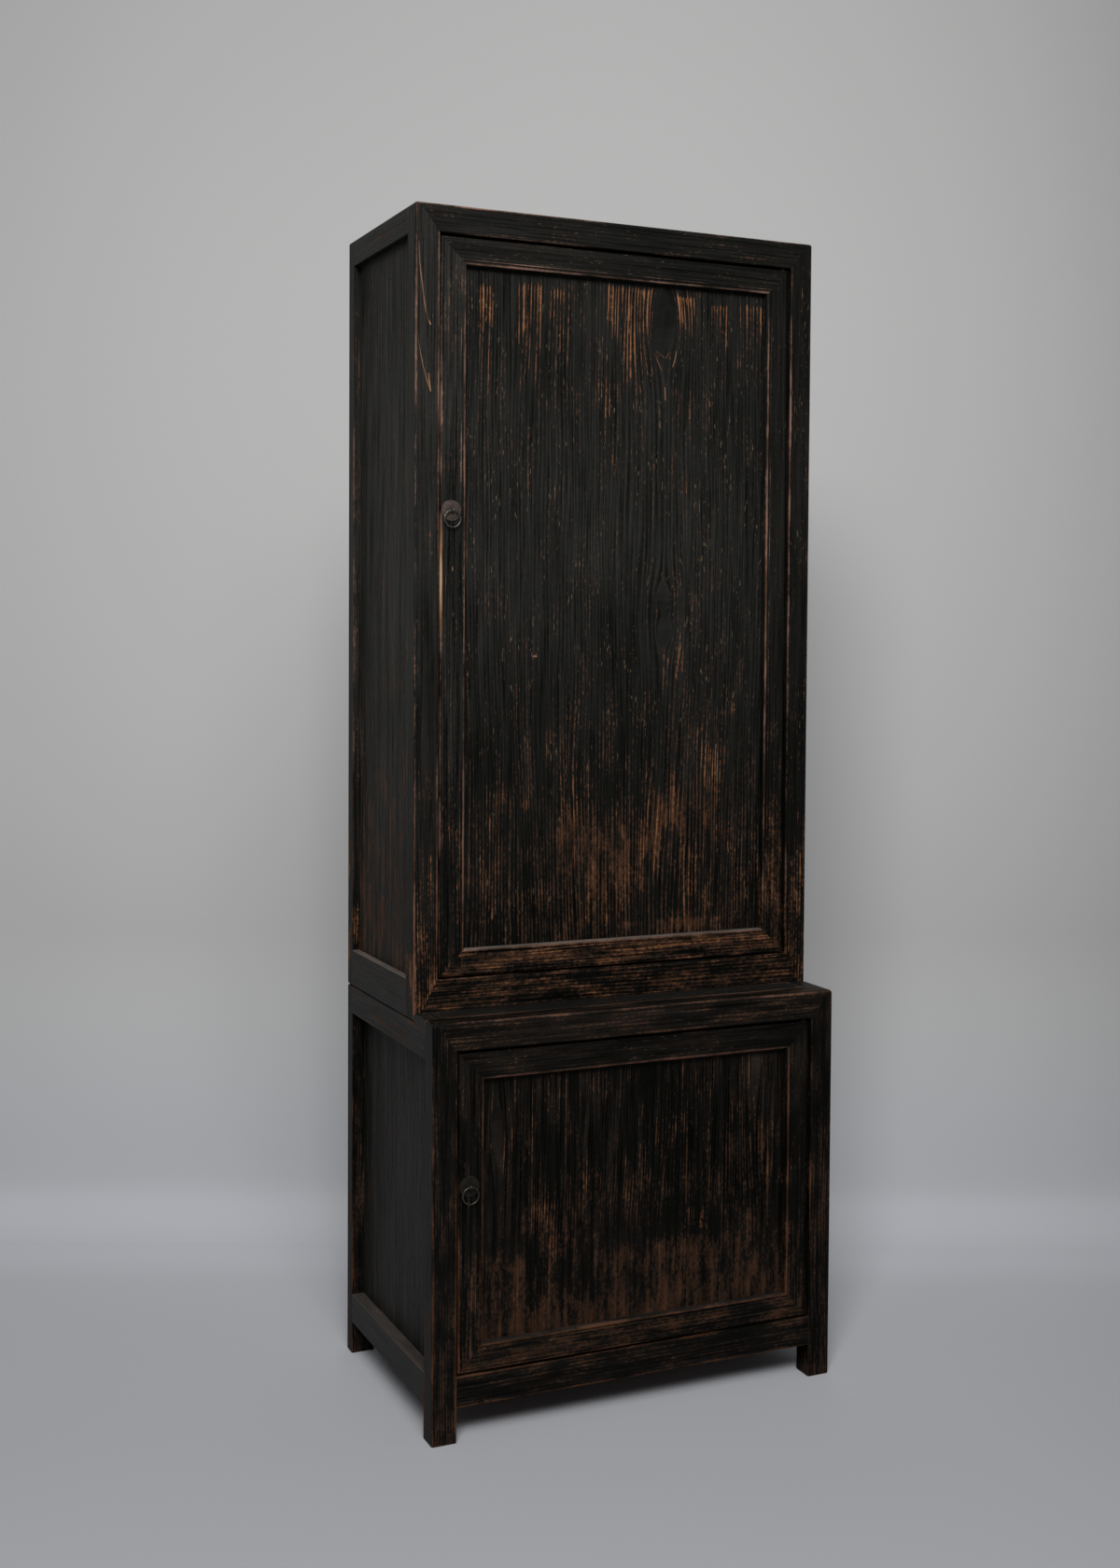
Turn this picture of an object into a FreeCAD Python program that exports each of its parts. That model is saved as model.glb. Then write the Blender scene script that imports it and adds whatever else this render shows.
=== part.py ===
import FreeCAD, Part

import os

# Two-part stacked cabinet in lacquered wood. The upper case stands in a seat behind a raised
# ledge on the lower case. Each case has one framed door, hung at the right on wooden pivots.
# X runs right as seen from the front, Y runs to the back, Z is up. Sizes are in millimetres.

# Overall sizes
case_width = 708.0
total_height = 1900.0
lower_depth = 430.0
seat_height = 636.0
ledge_depth = 90.0
ledge_rise = 13.0
case_clearance = 0.4
ledge_clearance = 0.8

# Posts and rails
post_width = 40.0
front_post_depth = 37.0
rear_post_depth = 29.0
side_rail_thickness = 36.0
rear_rail_thickness = 26.0
foot_height = 55.0
lower_bottom_rail_height = 48.0
lower_front_rail_height = 45.0
lower_side_rail_height = 47.0
upper_bottom_rail_height = 62.0
upper_top_rail_height = 43.0
mitre_margin = 1.0

# Tenons
front_tenon_length = 16.0
side_tenon_length = 20.0
tenon_thickness = 10.0
tenon_inset = 9.0
tenon_shoulder = 9.0

# Softened edges
case_round = 4.0
ledge_round = 5.5
mouth_round = 2.2
side_mouth_round = 1.5
foot_chamfer = 1.5

# Panels and boards
panel_thickness = 9.0
upper_side_recess = 11.0
lower_side_recess = 21.0
back_recess = 6.0
top_recess = 5.0
board_thickness = 10.0
lower_floor_drop = 16.0
upper_floor_drop = 8.0
dust_board_drop = 4.0
groove_depth = 7.0
groove_slack = 1.0

# Shelves
shelf_thickness = 14.0
shelf_clearance = 0.5
bearer_width = 18.0
bearer_height = 24.0
bearer_housing = 6.0
bearer_clearance = 0.5
lower_shelf_height_share = 0.36
upper_shelf_height_share = 0.68

# Doors
door_thickness = 25.0
door_setback = 1.5
door_side_gap = 3.0
door_top_gap = 5.0
door_bottom_gap = 3.0
stile_flat = 34.5
bead_width = 7.5
bead_depth = 3.0
quirk_width = 1.0
quirk_depth = 1.2
mitre_depth = 3.5
door_round = 2.0
door_panel_recess = 12.0
door_panel_thickness = 8.0
door_tenon_shoulder = 10.0
door_tenon_reach = 18.0
door_tenon_thickness = 7.0

# Door pivots and stops
pivot_inset = 9.0
pivot_radius = 5.0
pivot_clearance = 0.3
lower_pivot_depth = 8.0
upper_pivot_depth = 12.0
pivot_lift_room = 9.5
stop_height = 14.0
stop_thickness = 10.0
stop_clearance = 0.4
stop_hinge_space = 24.0

# Ring pulls
upper_pull_height = 1430.0
lower_pull_height = 395.0
plate_radius = 16.5
plate_thickness = 1.6
plate_round = 0.7
eye_distance = 5.0
eye_radius = 4.0
eye_hole_radius = 1.7
staple_width = 2.6
shank_height = 3.0
clinch_reach = 14.0
clinch_thickness = 1.4
ring_radius = 13.0
ring_wire_radius = 1.3

# Room for cutters to overrun, and the margin within which an edge counts as lying on a face
overrun = 5.0
edge_margin = 0.01

# Places that follow from the sizes. A mitre starts and ends clear of the rounded corners.
half_width = case_width / 2
half_opening = half_width - post_width
pull_projection = plate_thickness + eye_distance + eye_radius - door_setback
lower_front = (pull_projection - lower_depth) / 2
upper_front = lower_front + ledge_depth
back = lower_front + lower_depth
ledge_height = seat_height + ledge_rise
upper_base = seat_height + case_clearance
stile_width = stile_flat + bead_width
panel_tongue = groove_depth - groove_slack
mitre_lead = mouth_round
mitre_inset = max(case_round, ledge_round) + mitre_margin


def box(x0, x1, y0, y1, z0, z1):
    return Part.makeBox(x1 - x0, y1 - y0, z1 - z0, FreeCAD.Vector(x0, y0, z0))


def side_span(side, outer, inner):
    """The X range between two distances in from one side of the case, -1 left or 1 right."""
    return sorted((side * (half_width - outer), side * (half_width - inner)))


def grow(span, axes, amount):
    """A span of (x0, x1, y0, y1, z0, z1), longer at both ends along the named axes."""
    grown = list(span)
    for axis in axes:
        first = 2 * "xyz".index(axis)
        grown[first] -= amount
        grown[first + 1] += amount
    return grown


def edges_within(shape, span):
    """The edges of a shape that lie wholly inside a span."""
    x0, x1, y0, y1, z0, z1 = grow(span, "xyz", edge_margin)
    found = []
    for edge in shape.Edges:
        room = edge.BoundBox
        inside_x = x0 <= room.XMin and room.XMax <= x1
        inside_y = y0 <= room.YMin and room.YMax <= y1
        inside_z = z0 <= room.ZMin and room.ZMax <= z1
        if inside_x and inside_y and inside_z:
            found.append(edge)
    return found


def cut_all(shape, tools):
    for tool in tools:
        shape = shape.cut(tool)
    return shape


# Blocks: the outer shape of each case, which its posts and rails are taken from
def upper_block():
    block = box(-half_width, half_width, upper_front, back, upper_base, total_height)
    return block.makeFillet(case_round, block.Edges)


def ledge_block():
    """The front of the lower case, up to the ledge."""
    ledge_back = upper_front - ledge_clearance
    block = box(-half_width, half_width, lower_front, ledge_back, 0, ledge_height)
    uprights = []
    for x in (-half_width, half_width):
        uprights += edges_within(block, (x, x, lower_front, lower_front, 0, ledge_height))
    block = block.makeFillet(case_round, uprights)
    top_face = (-half_width, half_width, lower_front, ledge_back, ledge_height, ledge_height)
    top = edges_within(block, top_face)
    rim = [edge for edge in top if edge.BoundBox.YMin < ledge_back - edge_margin]
    return block.makeFillet(ledge_round, rim)


def seat_block():
    """The rest of the lower case, up to the seat that carries the upper case."""
    front = lower_front + front_post_depth
    block = box(-half_width, half_width, front, back, 0, seat_height)
    raised = edges_within(block, (-half_width, half_width, front, back, seat_height, seat_height))
    rim = [edge for edge in raised if edge.BoundBox.YMax > front + edge_margin]
    for x in (-half_width, half_width):
        rim += edges_within(block, (x, x, back, back, 0, seat_height))
    return block.makeFillet(case_round, rim)


def rounded_mouth(block, mouth, rim, radius):
    """Sinks an opening into a block and rounds the edges of its mouth."""
    block = block.cut(box(*mouth))
    return block.makeFillet(radius, edges_within(block, rim))


def with_mouths(block, case):
    """Gives a block its door opening and its two side openings, with softened edges."""
    x0, x1 = -half_opening, half_opening
    z0, z1 = case["opening"]
    front = case["front"]
    mouth = (x0, x1, front, front + mouth_round + overrun, z0, z1)
    block = rounded_mouth(block, mouth, (x0, x1, front, front, z0, z1), mouth_round)
    y0, y1 = case["side_y"]
    z0, z1 = case["side_z"]
    for side in (-1, 1):
        x0, x1 = side_span(side, 0, side_mouth_round + overrun)
        face = side * half_width
        rim = (face, face, y0, y1, z0, z1)
        block = rounded_mouth(block, (x0, x1, y0, y1, z0, z1), rim, side_mouth_round)
    return block


# Frame members
def front_rail(case, inner_z, outer_z, mitred):
    """A front rail, mitred to the posts or butted between them, and what it cuts out of them."""
    corners = [(-half_opening, inner_z), (half_opening, inner_z)]
    if mitred:
        reach = post_width - mitre_inset
        stretch = 1 + overrun / reach
        outer = half_opening + reach * stretch
        start_z = inner_z - mitre_lead if outer_z > inner_z else inner_z + mitre_lead
        far_z = start_z + (outer_z - start_z) * stretch
        corners += [(half_opening, start_z), (outer, far_z), (-outer, far_z), (-half_opening, start_z)]
    else:
        corners += [(half_opening, outer_z), (-half_opening, outer_z)]
    y0, y1 = case["front"] - overrun, case["front"] + front_post_depth
    outline = [FreeCAD.Vector(x, y0, z) for x, z in corners + corners[:1]]
    bar = Part.Face(Part.makePolygon(outline)).extrude(FreeCAD.Vector(0, y1 - y0, 0))
    low, high = sorted((inner_z, outer_z))
    tenon = box(
        -half_opening - front_tenon_length, half_opening + front_tenon_length,
        case["front"] + tenon_inset + tenon_thickness, case["front"] + tenon_inset + 2 * tenon_thickness,
        low + tenon_shoulder, high - tenon_shoulder)
    rail = bar.common(case["block"]).fuse(tenon).removeSplitter()
    return rail, [bar, tenon]


def rear_rail(case, z0, z1):
    y0 = back - rear_rail_thickness
    bar = box(-half_opening, half_opening, y0, back, z0, z1).common(case["block"])
    tenon = box(
        -half_opening - front_tenon_length, half_opening + front_tenon_length,
        y0 + tenon_inset, y0 + tenon_inset + tenon_thickness,
        z0 + tenon_shoulder, z1 - tenon_shoulder)
    return bar.fuse(tenon).removeSplitter(), [tenon]


def side_rail(case, side, z0, z1):
    """A rail from front post to rear post. Its tenons keep to its lower half."""
    y0, y1 = case["side_y"]
    x0, x1 = side_span(side, 0, side_rail_thickness)
    bar = box(x0, x1, y0, y1, z0, z1).common(case["block"])
    x0, x1 = side_span(side, tenon_inset, tenon_inset + tenon_thickness)
    tenon_top = z0 + (z1 - z0) / 2
    tenon = box(x0, x1, y0 - side_tenon_length, y1 + side_tenon_length, z0 + tenon_shoulder, tenon_top)
    return bar.fuse(tenon).removeSplitter(), [tenon]


def post(case, side, y0, y1, low, high):
    x0, x1 = side_span(side, 0, post_width)
    return box(x0, x1, y0, y1, low, high).common(case["block"])


def chamfered_foot(leg):
    room = leg.BoundBox
    sole = edges_within(leg, (room.XMin, room.XMax, room.YMin, room.YMax, 0, 0))
    return leg.makeChamfer(foot_chamfer, sole)


# Panels: each has a tongue in the grooves of the frame round it
def framed_sheet(span, axes):
    """A panel that fills an opening, and the cutter for its grooves."""
    sheet = box(*grow(span, axes, panel_tongue))
    groove = box(*grow(span, axes, groove_depth))
    return sheet, groove


def side_sheet(case, side):
    recess = case["side_recess"]
    x0, x1 = side_span(side, recess, recess + panel_thickness)
    return framed_sheet((x0, x1) + case["side_y"] + case["side_z"], "yz")


def back_sheet(case):
    y1 = back - back_recess
    z0, z1 = case["back_z"]
    return framed_sheet((-half_opening, half_opening, y1 - panel_thickness, y1, z0, z1), "xz")


def board_sheet(case, top):
    """A horizontal board held in the rails, with its upper face at the given height."""
    x1 = half_width - side_rail_thickness
    y0 = case["front"] + front_post_depth
    y1 = back - rear_rail_thickness
    return framed_sheet((-x1, x1, y0, y1, top - board_thickness, top), "xy")


# Shelves, each on a bearer housed in the posts at either end of the case
def bearer(case, side, top):
    y0, y1 = case["side_y"]
    near = case["side_recess"] + panel_thickness + bearer_clearance
    x0, x1 = side_span(side, near, near + bearer_width)
    return box(x0, x1, y0 - bearer_housing, y1 + bearer_housing, top - bearer_height, top)


def shelf(case, low):
    x1 = half_width - case["side_recess"] - panel_thickness - bearer_clearance - shelf_clearance
    y0, y1 = case["side_y"]
    return box(-x1, x1, y0 + shelf_clearance, y1 - shelf_clearance, low, low + shelf_thickness)


# Doors
def door_profile(edge_radius):
    """Section of a door frame member: X in from its outer edge, Y back from the door's face."""
    half_turn = edge_radius * (1 - 0.5 ** 0.5)
    bead_start = stile_flat + quirk_width
    bead_crown = (bead_start + stile_width) / 2
    outer_arc = Part.Arc(
        FreeCAD.Vector(0, edge_radius, 0),
        FreeCAD.Vector(half_turn, half_turn, 0),
        FreeCAD.Vector(edge_radius, 0, 0))
    bead_arc = Part.Arc(
        FreeCAD.Vector(bead_start, quirk_depth, 0),
        FreeCAD.Vector(bead_crown, 0, 0),
        FreeCAD.Vector(stile_width, bead_depth, 0))
    face = Part.LineSegment(FreeCAD.Vector(edge_radius, 0, 0), FreeCAD.Vector(stile_flat, 0, 0))
    quirk = Part.LineSegment(
        FreeCAD.Vector(stile_flat, 0, 0), FreeCAD.Vector(bead_start, quirk_depth, 0))
    rear = Part.makePolygon([
        FreeCAD.Vector(stile_width, bead_depth, 0),
        FreeCAD.Vector(stile_width, door_thickness, 0),
        FreeCAD.Vector(0, door_thickness, 0),
        FreeCAD.Vector(0, edge_radius, 0)])
    edges = [outer_arc.toShape(), face.toShape(), quirk.toShape(), bead_arc.toShape()] + rear.Edges
    return Part.Face(Part.Wire(edges))


def mitre_wedge(length, at_end):
    """What a mitred member loses at one end, in the thin layer behind its face."""
    tip, heel = (length, length - stile_width) if at_end else (0, stile_width)
    corners = [(0, tip), (stile_width, tip), (stile_width, heel)]
    outline = [FreeCAD.Vector(x, 0, z) for x, z in corners + corners[:1]]
    return Part.Face(Part.makePolygon(outline)).extrude(FreeCAD.Vector(0, mitre_depth, 0))


def door_stile(length):
    bar = door_profile(door_round).extrude(FreeCAD.Vector(0, 0, length))
    return cut_all(bar, [mitre_wedge(length, False), mitre_wedge(length, True)])


def door_rail(length):
    """A door rail: mitred at its face, butted and tenoned into the stiles behind it."""
    bar = door_profile(door_round).extrude(FreeCAD.Vector(0, 0, length))
    bar = cut_all(bar, [mitre_wedge(length, False), mitre_wedge(length, True)])
    for z0, z1 in ((0, stile_width), (length - stile_width, length)):
        bar = bar.cut(box(0, stile_width, mitre_depth, door_thickness, z0, z1))
    y0 = (door_thickness - door_tenon_thickness) / 2
    tenon = box(
        door_tenon_shoulder, stile_flat - groove_depth, y0, y0 + door_tenon_thickness,
        door_tenon_reach, length - door_tenon_reach)
    return bar.fuse(tenon).removeSplitter()


def stand(shape, turn, x, y, z):
    """Turns a door member about Y and sets its outer corner in place."""
    placed = shape.copy()
    placed.rotate(FreeCAD.Vector(0, 0, 0), FreeCAD.Vector(0, 1, 0), turn)
    placed.translate(FreeCAD.Vector(x, y, z))
    return placed


def door_nodes(case):
    name = case["name"] + "_door_"
    x0, x1 = -half_opening + door_side_gap, half_opening - door_side_gap
    z0, z1 = case["opening"][0] + door_bottom_gap, case["opening"][1] - door_top_gap
    face = case["front"] + door_setback
    outer = box(x0, x1, face, face + door_thickness, z0, z1)
    outer = outer.makeFillet(pivot_inset, edges_within(outer, (x1, x1, face, face, z0, z1)))

    top_rail = stand(door_rail(x1 - x0), 90, x0, face, z1).common(outer)
    bottom_rail = stand(door_rail(x1 - x0), 270, x1, face, z0).common(outer)
    pull_stile = stand(door_stile(z1 - z0), 0, x0, face, z0)
    hinge_stile = stand(door_stile(z1 - z0), 180, x1, face, z1).common(outer)

    panel_y = face + door_panel_recess
    panel, groove = framed_sheet(
        (x0 + stile_width, x1 - stile_width, panel_y, panel_y + door_panel_thickness,
         z0 + stile_width, z1 - stile_width), "xz")
    top_rail = top_rail.cut(groove)
    bottom_rail = bottom_rail.cut(groove)
    rails = [top_rail, bottom_rail]
    pull_stile = cut_all(pull_stile.cut(groove), rails + [case["staple"]])
    hinge_stile = cut_all(hinge_stile.cut(groove), rails)

    axis_x, axis_y = x1 - pivot_inset, face + pivot_inset
    upper_pin_top = case["opening"][1] + upper_pivot_depth
    lower_pin_end = case["opening"][0] - lower_pivot_depth
    for low, high in ((z1 - pivot_radius, upper_pin_top), (lower_pin_end, z0 + pivot_radius)):
        pin = Part.makeCylinder(pivot_radius, high - low, FreeCAD.Vector(axis_x, axis_y, low))
        hinge_stile = hinge_stile.fuse(pin)
    return {
        name + "pull_stile": pull_stile,
        name + "hinge_stile": hinge_stile.removeSplitter(),
        name + "top_rail": top_rail,
        name + "bottom_rail": bottom_rail,
        name + "panel": panel,
    }


def pivot_sockets(case):
    """Cutters for the two sockets. The upper one is deep, so the door lifts in and drops down."""
    x = half_opening - door_side_gap - pivot_inset
    y = case["front"] + door_setback + pivot_inset
    radius = pivot_radius + pivot_clearance
    low = case["opening"][0] - lower_pivot_depth - pivot_clearance
    lower = Part.makeCylinder(radius, lower_pivot_depth + pivot_clearance, FreeCAD.Vector(x, y, low))
    depth = upper_pivot_depth + pivot_lift_room
    upper = Part.makeCylinder(radius, depth, FreeCAD.Vector(x, y, case["opening"][1]))
    return lower, upper


def door_stop(case):
    """A strip behind the door's top rail, fixed under the front rail and short of the pivot."""
    y0 = case["front"] + door_setback + door_thickness + stop_clearance
    z1 = case["opening"][1]
    x1 = half_opening - door_side_gap - pivot_inset - stop_hinge_space
    return box(-half_opening, x1, y0, y0 + stop_thickness, z1 - stop_height, z1)


# Ring pulls
def pull_place(case):
    """The middle of a pull's backplate on the door's face."""
    x = -half_opening + door_side_gap + stile_flat / 2
    return x, case["front"] + door_setback, case["pull_height"]


def pull_staple(case):
    """An eye on a shank that goes through the stile and is clinched up and down behind it."""
    x, y, z = pull_place(case)
    x0, x1 = x - staple_width / 2, x + staple_width / 2
    eye_y = y - plate_thickness - eye_distance
    axis = FreeCAD.Vector(1, 0, 0)
    eye = Part.makeCylinder(eye_radius, staple_width, FreeCAD.Vector(x0, eye_y, z), axis)
    rear = y + door_thickness
    shank = box(x0, x1, eye_y, rear, z - shank_height / 2, z + shank_height / 2)
    clinch = box(x0, x1, rear, rear + clinch_thickness, z - clinch_reach, z + clinch_reach)
    hole = Part.makeCylinder(eye_hole_radius, staple_width, FreeCAD.Vector(x0, eye_y, z), axis)
    return eye.fuse(shank).fuse(clinch).cut(hole).removeSplitter()


def pull_plate(case):
    x, y, z = pull_place(case)
    front = FreeCAD.Vector(x, y - plate_thickness, z)
    plate = Part.makeCylinder(plate_radius, plate_thickness, front, FreeCAD.Vector(0, 1, 0))
    rim = edges_within(plate, (x - plate_radius, x + plate_radius, front.y, front.y,
                               z - plate_radius, z + plate_radius))
    return plate.makeFillet(plate_round, rim).cut(case["staple"])


def pull_ring(case):
    x, y, z = pull_place(case)
    centre = FreeCAD.Vector(x, y - plate_thickness - eye_distance, z - ring_radius)
    return Part.makeTorus(ring_radius, ring_wire_radius, centre, FreeCAD.Vector(0, 1, 0))


# Cases
def case_nodes(case):
    """Every part of one case but its door and its pull."""
    name = case["name"] + "_"
    bottom_z, top_z = case["opening"]
    rail_low = case["rail_low"]
    side_low, side_high = case["side_z"]
    side_top = case["side_top"]
    front = case["front"]
    y0, y1 = case["side_y"]

    rails = {}
    side_joints = []
    for side, word in ((-1, "left"), (1, "right")):
        rails[name + word + "_bottom_rail"], tenons = side_rail(case, side, rail_low, side_low)
        side_joints += tenons
        rails[name + word + "_top_rail"], tenons = side_rail(case, side, side_high, side_top)
        side_joints += tenons
    sockets = pivot_sockets(case)
    bottom, bottom_joints = front_rail(case, bottom_z, rail_low, case["bottom_mitred"])
    top, top_joints = front_rail(case, top_z, case["front_top"], True)
    rails[name + "front_bottom_rail"] = cut_all(bottom, side_joints + [sockets[0]])
    rails[name + "front_top_rail"] = cut_all(top, side_joints + [sockets[1]])
    back_low, back_high = case["back_z"]
    rails[name + "rear_bottom_rail"], low_joints = rear_rail(case, rail_low, back_low)
    rails[name + "rear_top_rail"], high_joints = rear_rail(case, back_high, case["rear_top"])
    joints = side_joints + bottom_joints + top_joints + low_joints + high_joints

    sheets = {}
    grooves = []
    for side, word in ((-1, "left"), (1, "right")):
        sheets[name + word + "_panel"], groove = side_sheet(case, side)
        grooves.append(groove)
    sheets[name + "back_panel"], groove = back_sheet(case)
    grooves.append(groove)
    for label, height in case["boards"].items():
        sheets[name + label], groove = board_sheet(case, height)
        grooves.append(groove)

    loose = {}
    for label, height in case["shelves"].items():
        loose[name + label] = shelf(case, height)
        for side, word in ((-1, "left"), (1, "right")):
            loose[name + label + "_" + word + "_bearer"] = bearer(case, side, height)
    bearers = [shape for label, shape in loose.items() if label.endswith("bearer")]

    posts = {}
    for side, word in ((-1, "left"), (1, "right")):
        low = case["base"]
        posts[name + "front_" + word + "_post"] = post(case, side, front, y0, low, case["front_top"])
        posts[name + "rear_" + word + "_post"] = post(case, side, y1, back, low, case["rear_top"])
    for label in posts:
        posts[label] = cut_all(posts[label], joints + grooves + bearers)
        if case["feet"]:
            posts[label] = chamfered_foot(posts[label])
    for label in rails:
        rails[label] = cut_all(rails[label], grooves)
    stop = {name + "door_stop": door_stop(case)}
    return {**posts, **rails, **sheets, **loose, **stop}


def ledge_board():
    """Fills the ledge between the front rail and the upper case, on top of the dust board."""
    x1 = half_width - side_rail_thickness
    y0 = lower_front + front_post_depth
    return box(-x1, x1, y0, upper_front - ledge_clearance, seat_height - dust_board_drop, ledge_height)


lower_opening = (foot_height + lower_bottom_rail_height, ledge_height - lower_front_rail_height)
lower = {
    "name": "lower",
    "front": lower_front,
    "base": 0,
    "front_top": ledge_height,
    "rear_top": seat_height,
    "side_top": ledge_height,
    "rail_low": foot_height,
    "bottom_mitred": False,
    "feet": True,
    "opening": lower_opening,
    "side_y": (lower_front + front_post_depth, back - rear_post_depth),
    "side_z": (lower_opening[0], seat_height - lower_side_rail_height),
    "back_z": (lower_opening[0], seat_height - lower_side_rail_height),
    "side_recess": lower_side_recess,
    "boards": {
        "floor_board": lower_opening[0] - lower_floor_drop,
        "dust_board": seat_height - dust_board_drop,
    },
    "shelves": {},
    "pull_height": lower_pull_height,
}
lower["block"] = with_mouths(seat_block().fuse(ledge_block()).removeSplitter(), lower)

upper_opening = (upper_base + upper_bottom_rail_height, total_height - upper_top_rail_height)
upper_clear = upper_opening[1] - upper_opening[0]
upper = {
    "name": "upper",
    "front": upper_front,
    "base": upper_base,
    "front_top": total_height,
    "rear_top": total_height,
    "side_top": total_height,
    "rail_low": upper_base,
    "bottom_mitred": True,
    "feet": False,
    "opening": upper_opening,
    "side_y": (upper_front + front_post_depth, back - rear_post_depth),
    "side_z": upper_opening,
    "back_z": upper_opening,
    "side_recess": upper_side_recess,
    "boards": {
        "floor_board": upper_opening[0] - upper_floor_drop,
        "top_board": total_height - top_recess,
    },
    "shelves": {
        "lower_shelf": upper_opening[0] + lower_shelf_height_share * upper_clear,
        "upper_shelf": upper_opening[0] + upper_shelf_height_share * upper_clear,
    },
    "pull_height": upper_pull_height,
}
upper["block"] = with_mouths(upper_block(), upper)

nodes = {}
for case in (lower, upper):
    case["staple"] = pull_staple(case)
    nodes.update(case_nodes(case))
    nodes.update(door_nodes(case))
    pull = case["name"] + "_pull_"
    nodes[pull + "plate"] = pull_plate(case)
    nodes[pull + "staple"] = case["staple"]
    nodes[pull + "ring"] = pull_ring(case)
nodes["lower_ledge_board"] = ledge_board()

os.makedirs("parts", exist_ok=True)
for label, shape in nodes.items():
    shape.exportStep("parts/" + label + ".step")
    print(label, "solids", len(shape.Solids), "valid", shape.isValid(), "volume", round(shape.Volume))
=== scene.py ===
import math

import bmesh
import bpy
from mathutils import Matrix, Vector, noise


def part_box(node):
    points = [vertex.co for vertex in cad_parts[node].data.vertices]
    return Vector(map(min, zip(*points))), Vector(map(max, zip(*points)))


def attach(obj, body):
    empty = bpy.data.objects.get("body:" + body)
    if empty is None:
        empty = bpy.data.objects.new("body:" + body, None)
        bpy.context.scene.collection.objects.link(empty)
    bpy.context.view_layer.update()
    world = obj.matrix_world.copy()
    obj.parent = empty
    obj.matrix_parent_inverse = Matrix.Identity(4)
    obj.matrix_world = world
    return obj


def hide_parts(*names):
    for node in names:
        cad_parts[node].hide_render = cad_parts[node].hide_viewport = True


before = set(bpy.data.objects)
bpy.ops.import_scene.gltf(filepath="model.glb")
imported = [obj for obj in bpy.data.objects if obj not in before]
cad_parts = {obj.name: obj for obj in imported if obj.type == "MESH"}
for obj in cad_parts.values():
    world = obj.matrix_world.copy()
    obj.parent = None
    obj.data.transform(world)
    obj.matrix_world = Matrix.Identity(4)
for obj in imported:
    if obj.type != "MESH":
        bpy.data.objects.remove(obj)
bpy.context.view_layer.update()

# A tall cabinet of two stacked cases in rubbed black lacquer over pine, with small ring pulls.
# Lengths are in metres. X runs right as seen from the front, Y to the back, Z up.
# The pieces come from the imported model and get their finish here. The forged ring pulls are modelled here.

MM = 0.001


def linear(red, green, blue, alpha=1.0):
    """A colour as seen, 0 to 255, turned into the linear values that shaders take."""
    shares = [channel / 255 for channel in (red, green, blue)]
    return tuple(s / 12.92 if s <= 0.04045 else ((s + 0.055) / 1.055) ** 2.4 for s in shares) + (alpha,)


# Finishes
LACQUER = linear(5, 5, 4)
LACQUER_CLOUDED = linear(35, 35, 33)
LACQUER_BROWN = linear(38, 28, 21)
LACQUER_HAZE = linear(36, 29, 24)
WOOD_UMBER = linear(64, 42, 29)
WOOD_RED_BROWN = linear(88, 54, 36)
WOOD_ORANGE = linear(116, 76, 48)
WOOD_MAUVE = linear(112, 86, 74)
WOOD_TAN = linear(142, 106, 76)
WOOD_CREAM = linear(178, 150, 118)
DUST = linear(104, 92, 74)
# Pale grey for dust and a painted highlight along the tops of pieces
DUST_AND_HIGHLIGHT_GREY = linear(96, 88, 82)
INNER_PINE = linear(128, 94, 64)
INNER_PINE_DARK = linear(84, 58, 38)
WALL_GREY = linear(168, 168, 167)
FLOOR_GREY = linear(160, 161, 165)
BACKDROP_GREY = linear(170, 170, 170)


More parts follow.
